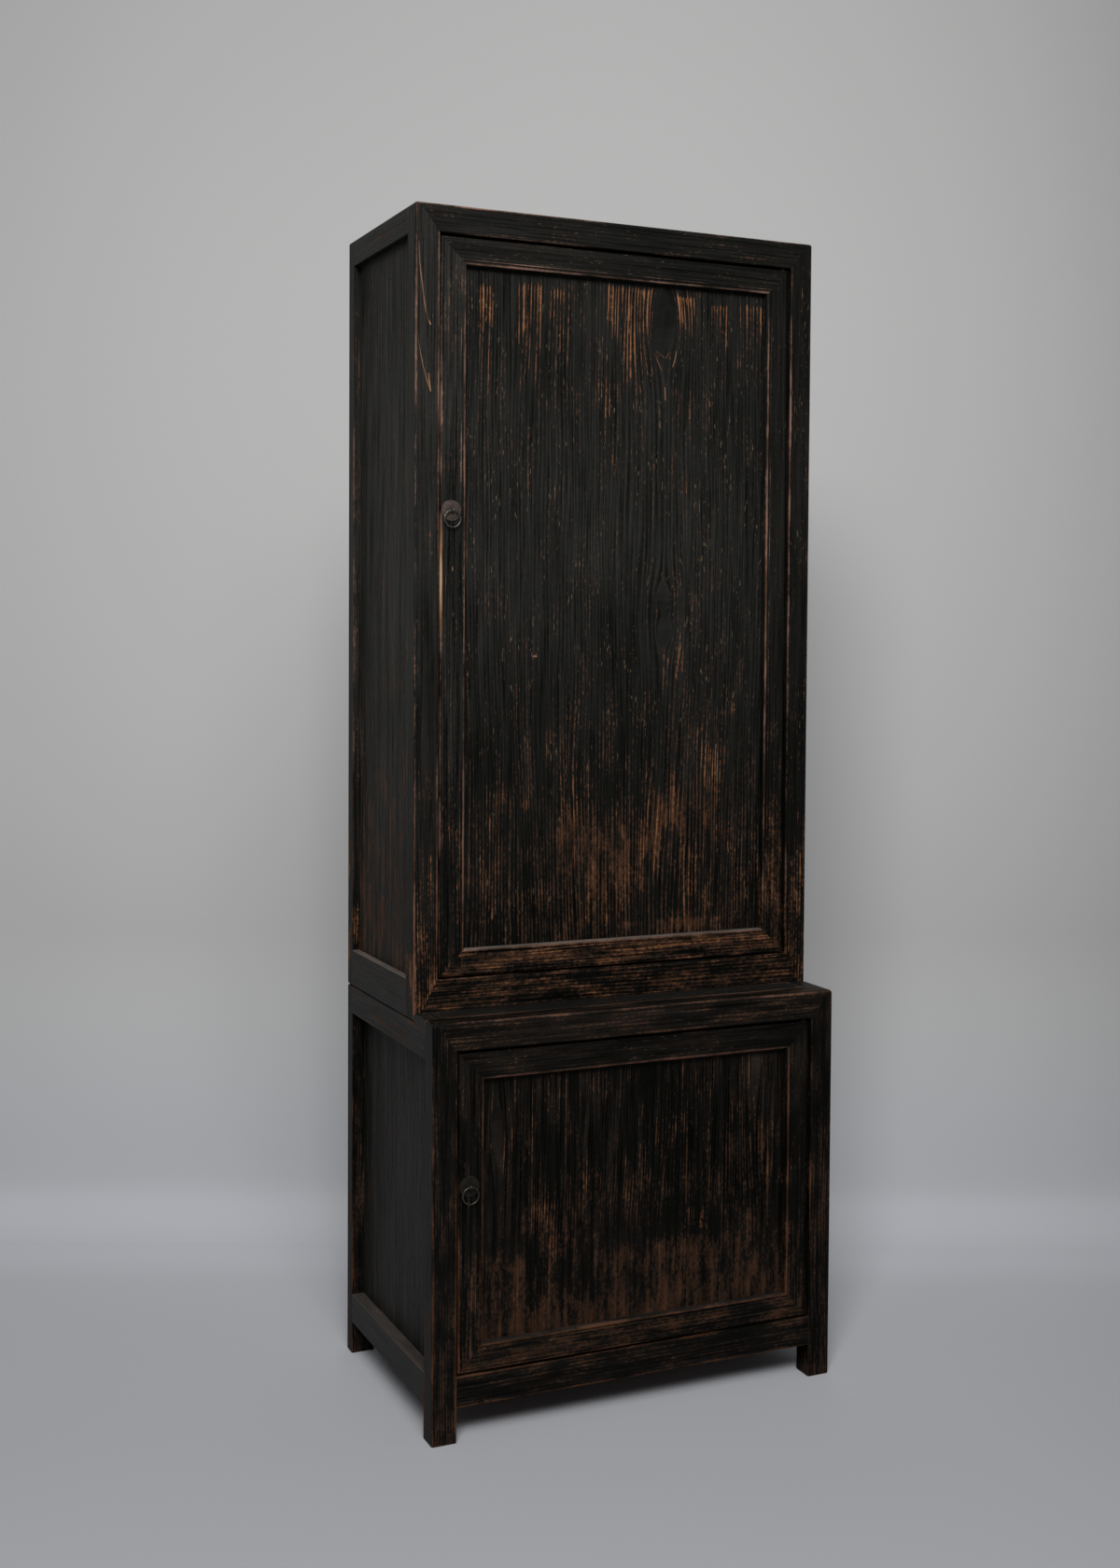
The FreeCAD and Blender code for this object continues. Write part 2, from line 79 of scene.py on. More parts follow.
# Shader graphs
class Graph:
    """Adds nodes to one tree. A socket given as an input is linked, a number is set."""

    def __init__(self, tree):
        self.tree = tree

    def put(self, socket, value):
        if isinstance(value, bpy.types.NodeSocket):
            self.tree.links.new(value, socket)
        elif value is not None:
            socket.default_value = value

    def node(self, kind, inputs=None, **settings):
        made = self.tree.nodes.new(kind)
        for name, value in settings.items():
            setattr(made, name, value)
        for key, value in (inputs or {}).items():
            self.put(made.inputs[key], value)
        return made

    def math(self, operation, *values, clamp=False):
        inputs = dict(enumerate(values))
        return self.node("ShaderNodeMath", inputs, operation=operation, use_clamp=clamp).outputs[0]

    def smooth(self, value, low, high, to_low=0.0, to_high=1.0):
        """A value between low and high, eased into another range."""
        inputs = {0: value, 1: low, 2: high, 3: to_low, 4: to_high}
        return self.node("ShaderNodeMapRange", inputs, interpolation_type="SMOOTHSTEP").outputs[0]

    def line(self, value, low, high, to_low=0.0, to_high=1.0):
        """A value between low and high, taken in a straight line into another range."""
        return self.node("ShaderNodeMapRange", {0: value, 1: low, 2: high, 3: to_low, 4: to_high}).outputs[0]

    def total(self, *values):
        whole = values[0]
        for value in values[1:]:
            whole = self.math("ADD", whole, value)
        return whole

    def product(self, *values):
        whole = values[0]
        for value in values[1:]:
            whole = self.math("MULTIPLY", whole, value)
        return whole

    def strongest(self, values):
        top = values[0]
        for value in values[1:]:
            top = self.math("MAXIMUM", top, value)
        return top

    def swing(self, value, size):
        """A figure from 0 to 1 turned into a swing either side of nothing."""
        return self.math("MULTIPLY", self.math("SUBTRACT", value, 0.5), size)

    def join(self, x, y, z):
        return self.node("ShaderNodeCombineXYZ", {0: x, 1: y, 2: z}).outputs[0]

    def split(self, vector):
        return self.node("ShaderNodeSeparateXYZ", {0: vector}).outputs

    def vector(self, operation, *values):
        made = self.node("ShaderNodeVectorMath", dict(enumerate(values)), operation=operation)
        return made.outputs["Value" if operation in ("LENGTH", "DISTANCE", "DOT_PRODUCT") else "Vector"]

    def noise(self, vector, scale=1.0, detail=2.0, rough=0.5, distortion=0.0):
        inputs = {"Vector": vector, "Scale": scale, "Detail": detail, "Roughness": rough,
                  "Distortion": distortion}
        return self.node("ShaderNodeTexNoise", inputs).outputs[0]

    def mix(self, share, first, second):
        """One colour going over into another."""
        made = self.node("ShaderNodeMix", data_type="RGBA")
        self.put(made.inputs[0], share)
        self.put(made.inputs[6], first)
        self.put(made.inputs[7], second)
        return made.outputs[2]

    def blend(self, share, first, second):
        """One number going over into another."""
        made = self.node("ShaderNodeMix", data_type="FLOAT")
        self.put(made.inputs[0], share)
        self.put(made.inputs[2], first)
        self.put(made.inputs[3], second)
        return made.outputs[0]


FLOAT, VECTOR, COLOUR = "NodeSocketFloat", "NodeSocketVector", "NodeSocketColor"


def effect(name, inputs, outputs):
    """An empty shader group with named sockets, and the sockets to build between."""
    tree = bpy.data.node_groups.new(name, "ShaderNodeTree")
    for label, kind in inputs:
        tree.interface.new_socket(label, in_out="INPUT", socket_type=kind)
    for label, kind in outputs:
        tree.interface.new_socket(label, in_out="OUTPUT", socket_type=kind)
    given, out = tree.nodes.new("NodeGroupInput").outputs, tree.nodes.new("NodeGroupOutput").inputs
    return Graph(tree), given, out


def use(graph, group, inputs):
    """Places a shader group in a graph and returns its outputs."""
    return graph.node("ShaderNodeGroup", inputs, node_tree=group).outputs


# What the grain group puts out, and the lacquer group takes
FIGURE = ("Ring", "Strand", "Fibre", "Fleck", "Blotch", "Grit", "Cloud")
BARE_FIGURE = ("Ring", "Fibre", "Blotch", "Cloud")

# Textures drawn out along a board: how far, how fine across it, detail and roughness
SWAY, JITTER = (0.16, 7.0, 2.0), (0.05, 45.0, 2.0)
DRAWN_OUT = {
    "Strand": (0.035, 150.0, 3.0, 0.55), "Fibre": (0.022, 420.0, 3.0, 0.6), "Fleck": (0.12, 640.0, 1.0, 0.4),
    "Blotch": (0.25, 50.0, 5.0, 0.62), "Grit": (0.7, 210.0, 4.0, 0.68), "Cloud": (0.45, 6.0, 3.0, 0.55),
}


def pine_grain():
    """Growth rings, fibres and cloudiness of sawn pine, in lengths across, into and along a board."""
    g, given, out = effect(
        "Pine grain",
        [(label, FLOAT) for label in ("Across", "Depth", "Along", "Spacing", "Waviness", "Seed")],
        [(label, FLOAT) for label in FIGURE])
    across, along, spacing = given["Across"], given["Along"], given["Spacing"]
    depth = g.math("ADD", given["Depth"], given["Seed"])

    def stretched(squeeze, scale, detail, rough=0.5):
        return g.noise(g.join(across, depth, g.math("MULTIPLY", along, squeeze)), scale, detail, rough)

    sway = g.swing(stretched(*SWAY), given["Waviness"])
    jitter = g.swing(stretched(*JITTER), g.math("MULTIPLY", spacing, 2.0))
    rings = g.math("DIVIDE", g.total(across, sway, jitter), spacing)
    g.put(out["Ring"], g.math("FRACT", rings))
    for label, texture in DRAWN_OUT.items():
        g.put(out[label], stretched(*texture))
    return g.tree


def knot_bend():
    """Bends the grain round a knot: the place across the board is pushed aside near the knot."""
    g, given, out = effect(
        "Grain round a knot",
        [(label, FLOAT) for label in ("Across", "Along", "Knot Across", "Knot Along", "Radius", "Stretch")],
        [("Across", FLOAT), ("Knot", FLOAT)])
    aside = g.math("SUBTRACT", given["Across"], given["Knot Across"])
    up = g.math("DIVIDE", g.math("SUBTRACT", given["Along"], given["Knot Along"]), given["Stretch"])
    square = g.math("ADD", g.math("MULTIPLY", aside, aside), g.math("MULTIPLY", up, up))
    reach = g.math("MULTIPLY", given["Radius"], given["Radius"])
    share = g.math("DIVIDE", reach, g.math("ADD", square, g.math("MULTIPLY", reach, 0.35)))
    pushed = g.math("MAXIMUM", g.math("SUBTRACT", 1.0, share), 0.04)
    g.put(out["Across"], g.math("ADD", given["Knot Across"], g.math("MULTIPLY", aside, pushed)))
    g.put(out["Knot"], g.smooth(g.math("SQRT", square), g.math("MULTIPLY", given["Radius"], 1.25),
                                g.math("MULTIPLY", given["Radius"], 0.5)))
    return g.tree


PATCH_VALUES = ("Centre", "Half Width", "Top", "Bottom", "Fade Up", "Strength")


def worn_patch():
    """A worn patch, strongest at its top, fading out aside, above its top and slowly down to its bottom."""
    g, given, out = effect(
        "Worn patch",
        [(label, FLOAT) for label in ("Across", "Along") + PATCH_VALUES],
        [("Patch", FLOAT)])
    aside = g.math("ABSOLUTE", g.math("SUBTRACT", given["Across"], given["Centre"]))
    off = g.math("DIVIDE", aside, given["Half Width"])
    above = g.math("DIVIDE", g.math("SUBTRACT", given["Along"], given["Top"]), given["Fade Up"])
    fall = g.line(given["Along"], given["Bottom"], given["Top"])
    shape = g.math("MULTIPLY", g.smooth(off, 1.15, 0.75), g.product(g.smooth(above, 1.0, 0.0), fall))
    g.put(out["Patch"], g.math("MULTIPLY", shape, given["Strength"]))
    return g.tree


def edge_nearness():
    """How near a point of a squared member is to one of its long edges, 1 on the edge."""
    g, given, out = effect(
        "Edge nearness",
        [("Position", VECTOR), ("Low", VECTOR), ("High", VECTOR), ("Reach", FLOAT)],
        [("Edge", FLOAT)])
    up = g.vector("SUBTRACT", given["Position"], given["Low"])
    down = g.vector("SUBTRACT", given["High"], given["Position"])
    x, y, z = g.split(g.vector("MINIMUM", up, down))
    lesser = g.math("MINIMUM", x, y)
    greater = g.math("MAXIMUM", x, y)
    middle = g.math("MAXIMUM", lesser, g.math("MINIMUM", greater, z))
    g.put(out["Edge"], g.smooth(middle, given["Reach"], 0.0))
    return g.tree


# How much each texture decides where the lacquer has gone: drawn out along the grain, and torn
WEAR_SWINGS = {"Strand": (1.4, 0.7), "Fibre": (1.1, 0.8), "Blotch": (1.2, 2.1), "Grit": (1.1, 1.8)}
WEAR_VALUES = ("Rub", "Scuff", "Torn", "Arris", "Pale", "Grey And Painted Light", "Haze", "Thread", "Dust", "Lines", "Painted Shade")


def rubbed_lacquer():
    """Black lacquer over pine: rubbed through along the grain where Rub is high, scuffed brown where Scuff is."""
    g, given, out = effect(
        "Rubbed lacquer",
        [(label, FLOAT) for label in FIGURE + WEAR_VALUES],
        [("Color", COLOUR), ("Roughness", FLOAT), ("Height", FLOAT)])
    ring, strand, fibre, fleck, blotch, grit, cloud = (given[label] for label in FIGURE)
    lines = given["Lines"]
    swing, total = g.swing, g.total

    # Painted shade: lower down the colours are darker, the red a little more so than the blue
    painted_shade = g.join(given["Painted Shade"], g.math("POWER", given["Painted Shade"], 0.93), g.math("POWER", given["Painted Shade"], 0.88))

    def in_painted_shade(colour):
        return g.vector("MULTIPLY", colour, painted_shade)

    # Where the coat has gone to the wood, and where it is only scuffed
    hard = g.math("MULTIPLY", g.smooth(ring, 0.5, 0.78), g.smooth(ring, 1.0, 0.88))
    ridge = g.math("MULTIPLY", g.math("SUBTRACT", hard, 0.5), lines)
    bare = total(given["Rub"], ridge, *(swing(given[label], g.line(given["Torn"], 0, 1, *sizes))
                                        for label, sizes in WEAR_SWINGS.items()))
    worn = g.smooth(bare, 0.70, 0.86)
    scoured = g.smooth(bare, 0.92, 1.4)
    lined = g.math("MULTIPLY", ridge, g.smooth(given["Scuff"], 1.3, 0.6, 0.25, 1.0))
    loose = total(given["Scuff"], lined, swing(grit, 2.0), swing(blotch, 2.0), swing(strand, 1.0))
    scuffed = g.smooth(loose, 0.45, 0.95)

    # The coat: black, clouded grey, hazed brown, scuffed through to umber, with fine upright threads
    # The grey share is partly clouding of the lacquer and partly painted light and shade: set per piece, and fading
    # lower down
    clouded_and_painted_light = g.math("MULTIPLY", g.line(cloud, 0.3, 0.7, 0.45, 1.0), given["Grey And Painted Light"])
    coat = g.mix(clouded_and_painted_light, LACQUER, LACQUER_CLOUDED)
    hazy = g.smooth(total(swing(blotch, 1.6), swing(cloud, 1.0), swing(strand, 0.6)), -0.3, 0.5)
    coat = g.mix(g.math("MULTIPLY", hazy, given["Haze"]), coat, in_painted_shade(LACQUER_HAZE[:3]))
    thread = total(swing(fibre, 1.5), swing(strand, 1.3), swing(grit, 0.5), g.math("MULTIPLY", ridge, 0.5))
    brown = g.mix(g.smooth(blotch, 0.38, 0.62), LACQUER_BROWN, WOOD_UMBER)
    brown = g.mix(g.math("MULTIPLY", g.smooth(loose, 1.0, 2.0), 0.6), brown, WOOD_ORANGE)
    coat = g.mix(g.math("MULTIPLY", scuffed, 0.9), coat, in_painted_shade(brown))
    darkest = g.math("SUBTRACT", 1.0, g.math("MULTIPLY", given["Thread"], 0.85), clamp=True)
    palest = g.math("ADD", 1.0, given["Thread"])
    coat = g.vector("SCALE", coat, None, None, g.line(thread, -0.45, 0.45, darkest, palest))

    # The bare wood
    wood = g.mix(g.smooth(blotch, 0.4, 0.6), WOOD_RED_BROWN, WOOD_ORANGE)
    wood = g.mix(g.smooth(bare, 0.72, 1.05), WOOD_UMBER, wood)
    wood = g.mix(g.math("MULTIPLY", scoured, given["Pale"]), wood, WOOD_TAN)
    wood = g.mix(g.math("MULTIPLY", g.smooth(fibre, 0.54, 0.38), 0.7), wood, LACQUER_BROWN)
    colour = g.mix(worn, coat, in_painted_shade(wood))

    # Arrises handled until they shine, paler the more they are worn; lower down they are redder, and darker as
    # painted shade
    smoothed = total(given["Arris"], swing(strand, 0.6), swing(blotch, 0.9), swing(fibre, 0.4), swing(grit, 0.5))
    polished = g.smooth(smoothed, 0.35, 0.85)
    rim = g.mix(g.smooth(given["Painted Shade"], 0.5, 0.95), WOOD_RED_BROWN, WOOD_MAUVE)
    rim = g.mix(g.smooth(blotch, 0.38, 0.6), WOOD_UMBER, rim)
    rim = g.mix(g.math("MULTIPLY", g.smooth(smoothed, 0.75, 1.1), 0.6), rim, WOOD_ORANGE)
    rim = g.mix(g.smooth(smoothed, 1.1, 1.7), rim, WOOD_TAN)
    rim = g.mix(g.smooth(smoothed, 1.6, 2.3), rim, WOOD_CREAM)
    colour = g.mix(g.math("MULTIPLY", polished, 0.9), colour, in_painted_shade(rim))

    # Specks of dust caught in the grain
    caught = g.math("MULTIPLY", given["Dust"], g.smooth(blotch, 0.42, 0.6))
    speck = g.math("MULTIPLY", g.smooth(fleck, 0.69, 0.77), caught)
    g.put(out["Color"], g.mix(speck, colour, in_painted_shade(DUST[:3])))
    dull = g.math("MAXIMUM", worn, scuffed)
    g.put(out["Roughness"], g.blend(dull, g.line(cloud, 0.3, 0.7, 0.36, 0.46), 0.65))
    relief = total(g.product(hard, lines, 0.25), g.math("MULTIPLY", fibre, 0.5), g.math("MULTIPLY", strand, 0.5),
                   g.math("MULTIPLY", grit, 0.12))
    g.put(out["Height"], g.math("SUBTRACT", relief, g.math("MULTIPLY", worn, 0.2)))
    return g.tree


def old_pine():
    """Unlacquered pine, browned with age."""
    g, given, out = effect(
        "Old bare pine",
        [(label, FLOAT) for label in BARE_FIGURE],
        [("Color", COLOUR), ("Roughness", FLOAT), ("Height", FLOAT)])
    wood = g.mix(g.smooth(given["Ring"], 0.1, 0.9), INNER_PINE, INNER_PINE_DARK)
    wood = g.mix(g.math("MULTIPLY", g.smooth(given["Cloud"], 0.4, 0.7), 0.5), wood, INNER_PINE_DARK)
    wood = g.mix(g.math("MULTIPLY", g.smooth(given["Fibre"], 0.5, 0.7), 0.35), wood, LACQUER_BROWN)
    g.put(out["Color"], wood)
    g.put(out["Roughness"], g.line(given["Blotch"], 0.3, 0.7, 0.66, 0.82))
    relief = g.math("ADD", g.math("MULTIPLY", given["Ring"], 0.4), g.math("MULTIPLY", given["Fibre"], 0.6))
    g.put(out["Height"], relief)
    return g.tree


PINE_GRAIN, KNOT_BEND, WORN_PATCH = pine_grain(), knot_bend(), worn_patch()
EDGE_NEARNESS, RUBBED_LACQUER, OLD_PINE = edge_nearness(), rubbed_lacquer(), old_pine()


def band(g, value, middle, width):
    """1 where a value is at the middle of a band, falling to 0 at the band's edges."""
    off = g.math("ABSOLUTE", g.math("SUBTRACT", value, middle))
    return g.math("SUBTRACT", 1.0, g.math("DIVIDE", off, width), clamp=True)


def within(g, position, low, high):
    """1 inside a box, 0 outside it."""
    up, down = g.vector("SUBTRACT", position, low), g.vector("SUBTRACT", high, position)
    x, y, z = g.split(g.vector("MINIMUM", up, down))
    return g.math("GREATER_THAN", g.math("MINIMUM", g.math("MINIMUM", x, y), z), 0.0)


# Which way a board's grain runs: the axes across, into and along it
UPRIGHT, CROSSWAYS, FORE_AND_AFT, FACE_ON_SIDE = (0, 1, 2), (2, 1, 0), (0, 2, 1), (1, 0, 2)

# Where the cases' fronts stand and a plane behind both, half the width between the posts, the gap beside a door
FRONT = {"lower": -210.45 * MM, "upper": -120.45 * MM}
ALL_FRONTS_BEFORE = -90 * MM
HALF_OPENING, DOOR_GAP = 314 * MM, 3 * MM


def bare_strokes(g, axes, strokes):
    """Thin lines of bare wood on a front: x and z of the top, x and z of the foot, bow, width, strength."""
    x, y, z = axes
    wander = g.swing(g.noise(g.join(0.0, 0.0, z), 90.0, 2.0), 2 * MM)
    marks = []
    for x_top, z_top, x_foot, z_foot, bow, width, strength in strokes:
        down = g.line(z, z_top, z_foot)
        bend = g.product(down, g.math("SUBTRACT", 1.0, down), bow * 4)
        path = g.math("ADD", g.math("SUBTRACT", g.line(z, z_top, z_foot, x_top, x_foot), bend), wander)
        near = g.smooth(g.math("ABSOLUTE", g.math("SUBTRACT", x, path)), width * 1.6, width * 0.4)
        run = g.math("MULTIPLY", g.smooth(z, z_top + 0.5 * MM, z_top - 1.5 * MM),
                     g.smooth(z, z_foot - 0.5 * MM, z_foot + 1.5 * MM))
        marks.append(g.product(near, run, g.line(down, 0.0, 0.4, 0.6 * strength, strength)))
    return g.math("MULTIPLY", g.strongest(marks), g.math("LESS_THAN", y, ALL_FRONTS_BEFORE))


# Heights between which the wear turns from torn below to drawn out along the grain above
TORN_BELOW = {"lower": (0.25, 0.5), "upper": (0.95, 1.25)}
# The coat is greyest at about the height of the upper pull, and browner and darker lower down, where its loss of
# grey and
# its darkening are painted shade: the heights between which each share changes, and what it changes from and to
GREY_COMES, GREY_GOES = (0.7, 1.35), (1.4, 1.85, 1.0, 0.8)
HAZE_THINS, PAINTED_SHADE_LIFTS = (0.9, 1.35, 1.0, 0.5), (0.3, 1.3, 0.55, 1.0)
# How much of the lines and threads a plain foot keeps, how much coat a knot holds, and how deep the dust and the
# painted highlight lie on a top
FOOT_LINES, FOOT_THREAD, KNOT_HOLDS = 0.12, 0.4, 0.6
DUST_AND_HIGHLIGHT_DEPTH, DUST_AND_HIGHLIGHT_FULL = 2.2 * MM, 0.4 * MM
# The darkest and the palest cloud in the grain, between which an edge's wear goes from faint to full
CLOUDS = (0.35, 0.6)


def put_finish(g, shader, colour, roughness, height, relief, strength, gloss):
    """Ends a material: its colour, its roughness, and its relief as a bump."""
    bump = g.node("ShaderNodeBump", {"Height": height, "Distance": relief, "Strength": strength})
    g.put(shader.inputs["Base Color"], colour)
    g.put(shader.inputs["Roughness"], roughness)
    g.put(shader.inputs["Normal"], bump.outputs[0])
    shader.inputs["Specular IOR Level"].default_value = gloss


def new_material(name):
    """A material, the graph to build it in, and its shader."""
    material = bpy.data.materials.new(name)
    material.use_nodes = True
    return material, Graph(material.node_tree), material.node_tree.nodes["Principled BSDF"]


def lacquered(name, grain, seed, spacing=6 * MM, waviness=0.03, lines=0.2, knots=(),
              rub=0.0, patches=(), scuff=0.0, scuffs=(), low_scuff=None,
              edge_rub=0.85, edge_reach=6 * MM, bands=None, strokes=(), pale=0.3,
              grey=0.5, grey_low=0.12, haze=0.3, thread=0.8, plain_foot=None,
              dust=0.5, top_dust=0.0, inside=None, relief=1.2 * MM, gloss=0.04):
    """The lacquer of one node: its grain, its worn edges and patches, and bare pine where it faces inwards."""
    material, g, shader = new_material(name)
    position = g.node("ShaderNodeTexCoord").outputs["Object"]
    axes = g.split(position)
    across, depth, along = (axes[i] for i in grain)
    height_above_floor = axes[2]
    low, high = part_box(name)

    # The grain, bent round the knots
    bent, knot_marks = across, []
    for knot_across, knot_along, radius, stretch in knots:
        knot = use(g, KNOT_BEND, {"Across": bent, "Along": along, "Knot Across": knot_across,
                                  "Knot Along": knot_along, "Radius": radius, "Stretch": stretch})
        bent = knot["Across"]
        knot_marks.append(knot["Knot"])
    figure = use(g, PINE_GRAIN, {"Across": bent, "Depth": depth, "Along": along, "Spacing": spacing,
                                 "Waviness": waviness, "Seed": seed})

    def patched(places):
        return [use(g, WORN_PATCH, {"Across": across, "Along": along, **dict(zip(PATCH_VALUES, place))})["Patch"]
                for place in places]

    def cloudy(low_share, high_share):
        return g.line(figure["Cloud"], *CLOUDS, low_share, high_share)

    # Wear: rubbed through along the grain, scuffed brown, and polished at the arrises
    edge = use(g, EDGE_NEARNESS, {"Position": position, "Low": low, "High": high, "Reach": edge_reach})["Edge"]
    arris = [g.math("MULTIPLY", edge, cloudy(0.45 * edge_rub, edge_rub))]
    wear, soft = [rub] + patched(patches), [scuff] + patched(scuffs)
    if low_scuff:
        full, none, scuff_share, rub_share = low_scuff
        fall = g.line(height_above_floor, full, none, 1.0, 0.0)
        soft.append(g.math("MULTIPLY", fall, scuff_share))
        wear.append(g.math("MULTIPLY", fall, rub_share))
    if bands:
        arris.append(g.math("MULTIPLY", bands(g, axes), cloudy(0.7, 1.0)))
    if strokes:
        arris.append(bare_strokes(g, axes, strokes))
    rubbed = g.strongest(wear)
    if plain_foot:
        lines = g.line(height_above_floor, *plain_foot, FOOT_LINES * lines, lines)
        thread = g.line(height_above_floor, *plain_foot, FOOT_THREAD * thread, thread)
    if knot_marks:
        knotted = g.strongest(knot_marks)
        rubbed = g.math("SUBTRACT", rubbed, g.math("MULTIPLY", knotted, KNOT_HOLDS))
        lines = g.math("MULTIPLY", g.math("SUBTRACT", 1.0, knotted), lines)

    # Painted shade: the coat's grey fades lower down
    greyed = g.math("MULTIPLY", g.line(height_above_floor, *GREY_COMES, grey_low, 1.0),
                    g.line(height_above_floor, *GREY_GOES))
    values = {
        "Rub": rubbed, "Scuff": g.strongest(soft), "Arris": g.strongest(arris),
        "Torn": g.line(height_above_floor, *TORN_BELOW[name[:5]], 1.0, 0.0),
        "Grey And Painted Light": g.math("MULTIPLY", greyed, grey),
        "Haze": g.math("MULTIPLY", g.line(height_above_floor, *HAZE_THINS), haze),
        # Painted shade: all colours darker lower down
        "Painted Shade": g.line(height_above_floor, *PAINTED_SHADE_LIFTS),
        "Pale": pale, "Thread": thread, "Dust": dust, "Lines": lines,
    }
    coat = use(g, RUBBED_LACQUER, {**{label: figure[label] for label in FIGURE}, **values})
    colour, roughness, height = coat["Color"], coat["Roughness"], coat["Height"]
    # Dust and a painted highlight: pale grey along the top of the piece, where light from above catches it
    if top_dust:
        dust_and_highlight = g.math("MULTIPLY", g.smooth(height_above_floor, high[2] - DUST_AND_HIGHLIGHT_DEPTH, high[2] - DUST_AND_HIGHLIGHT_FULL),
                       g.line(figure["Blotch"], 0.3, 0.65, 0.5, 1.0))
        colour = g.mix(g.math("MULTIPLY", dust_and_highlight, top_dust), colour, DUST_AND_HIGHLIGHT_GREY)
    if inside:
        bare = use(g, OLD_PINE, {label: figure[label] for label in BARE_FIGURE})
        hidden = within(g, position, *inside)
        colour = g.mix(hidden, colour, bare["Color"])
        roughness = g.blend(hidden, roughness, bare["Roughness"])
        height = g.blend(hidden, height, bare["Height"])
    put_finish(g, shader, colour, roughness, height, relief, 0.8, gloss)
    return material


def plain_pine(name, grain, seed):
    """Bare pine all over, for the shelves and the boards inside."""
    material, g, shader = new_material(name)
    axes = g.split(g.node("ShaderNodeTexCoord").outputs["Object"])
    across, depth, along = (axes[i] for i in grain)
    figure = use(g, PINE_GRAIN, {"Across": across, "Depth": depth, "Along": along, "Spacing": 6 * MM,
                                 "Waviness": 0.05, "Seed": seed})
    bare = use(g, OLD_PINE, {label: figure[label] for label in BARE_FIGURE})
    put_finish(g, shader, bare["Color"], bare["Roughness"], bare["Height"], 0.6 * MM, 0.6, 0.3)
    return material


def make_object(name, mesh, material):
    data = bpy.data.meshes.new(name)
    mesh.to_mesh(data)
    mesh.free()
    piece = bpy.data.objects.new(name, data)
    bpy.context.scene.collection.objects.link(piece)
    data.materials.append(material)
    return piece


def give_finish(name, material):
    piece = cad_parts[name]
    piece.data.materials.clear()
    piece.data.materials.append(material)


def lacquer_node(name, grain, seed, **wear):
    give_finish(name, lacquered(name, grain, seed, **wear))


def pine_node(name, grain, seed):
    give_finish(name, plain_pine(name, grain, seed))


# The space inside each case: half its width, its lowest and highest point, and how far back it goes.
# The coat ends a little behind the front of the case's frame, of the door's frame and of its panel.
SPACE_INSIDE = {"lower": (328.5 * MM, 60 * MM, 644 * MM), "upper": (338.5 * MM, 637 * MM, 1890 * MM)}
INSIDE_BACK = 208 * MM
FRAME_COAT, DOOR_COAT, DOOR_PANEL_COAT = 28 * MM, 25.5 * MM, 17.5 * MM


def inner_room(case, coat=FRAME_COAT):
    """The space inside a case, from some way behind its front, where the wood was never lacquered."""
    half, low, high = SPACE_INSIDE[case]
    return (-half, FRONT[case] + coat, low), (half, INSIDE_BACK, high)


# The doors: wear follows the frame's arris, its quirk and its bead, each so far in and so far to either side,
# and the grip below the upper pull
DOOR_X = HALF_OPENING - DOOR_GAP
DOOR_Z = {"lower": (106 * MM, 599 * MM), "upper": (701.4 * MM, 1852 * MM)}
ARRIS, QUIRK, BEAD = (0.2 * MM, 4.5 * MM), (33.6 * MM, 1.6 * MM), (39.4 * MM, 3.6 * MM)
QUIRK_WEAR = {"lower": 0.42, "upper": 0.6}
GRIP, GRIP_WEAR = (1330 * MM, 100 * MM), 2.6


def door_bands(case):
    low, high = DOOR_Z[case]
    tall = high - low

    def wear(g, axes):
        x, z = axes[0], axes[2]
        from_side = g.math("SUBTRACT", DOOR_X, g.math("ABSOLUTE", x))
        from_end = g.math("MINIMUM", g.math("SUBTRACT", z, low), g.math("SUBTRACT", high, z))
        inward = g.math("MINIMUM", from_side, from_end)
        # The arris is worn less near the door's top, partly as painted shade where its top edge lies in the gap's
        # shadow; the grip adds real wear
        handling_and_painted_shade = g.line(z, high, high - 0.3 * tall, 0.35, 0.8)
        if case == "upper":
            grip = g.math("MULTIPLY", band(g, z, *GRIP), g.math("LESS_THAN", x, 0.0))
            handling_and_painted_shade = g.math("ADD", handling_and_painted_shade, g.math("MULTIPLY", grip, GRIP_WEAR))
        return g.strongest([
            g.math("MULTIPLY", band(g, inward, *ARRIS), handling_and_painted_shade),
            g.math("MULTIPLY", band(g, inward, *QUIRK), QUIRK_WEAR[case]),
            g.math("MULTIPLY", band(g, inward, *BEAD), g.line(z, high, high - 0.25 * tall, 0.7, 1.05)),
        ])
    return wear


# Cracks and flecks of bare wood, as bare_strokes takes them
POST_CRACKS = [
    (-0.3484, 1.840, -0.3310, 1.7146, 0.004, 0.55 * MM, 1.25),
    (-0.3500, 1.700, -0.3294, 1.6134, 0.003, 0.55 * MM, 1.3),
    (-0.3330, 1.722, -0.3290, 1.7130, 0.0, 1.1 * MM, 1.45), (-0.3440, 1.800, -0.3372, 1.7300, 0.001, 0.5 * MM, 1.0),
    (-0.3322, 1.640, -0.3290, 1.6110, 0.0, 1.0 * MM, 1.45),
]
PULL_STILE_FLECKS = [
    (-0.2915, 1.344, -0.2912, 1.336, 0.0, 0.5 * MM, 1.9), (-0.2914, 1.320, -0.2912, 1.316, 0.0, 0.5 * MM, 1.1),
]

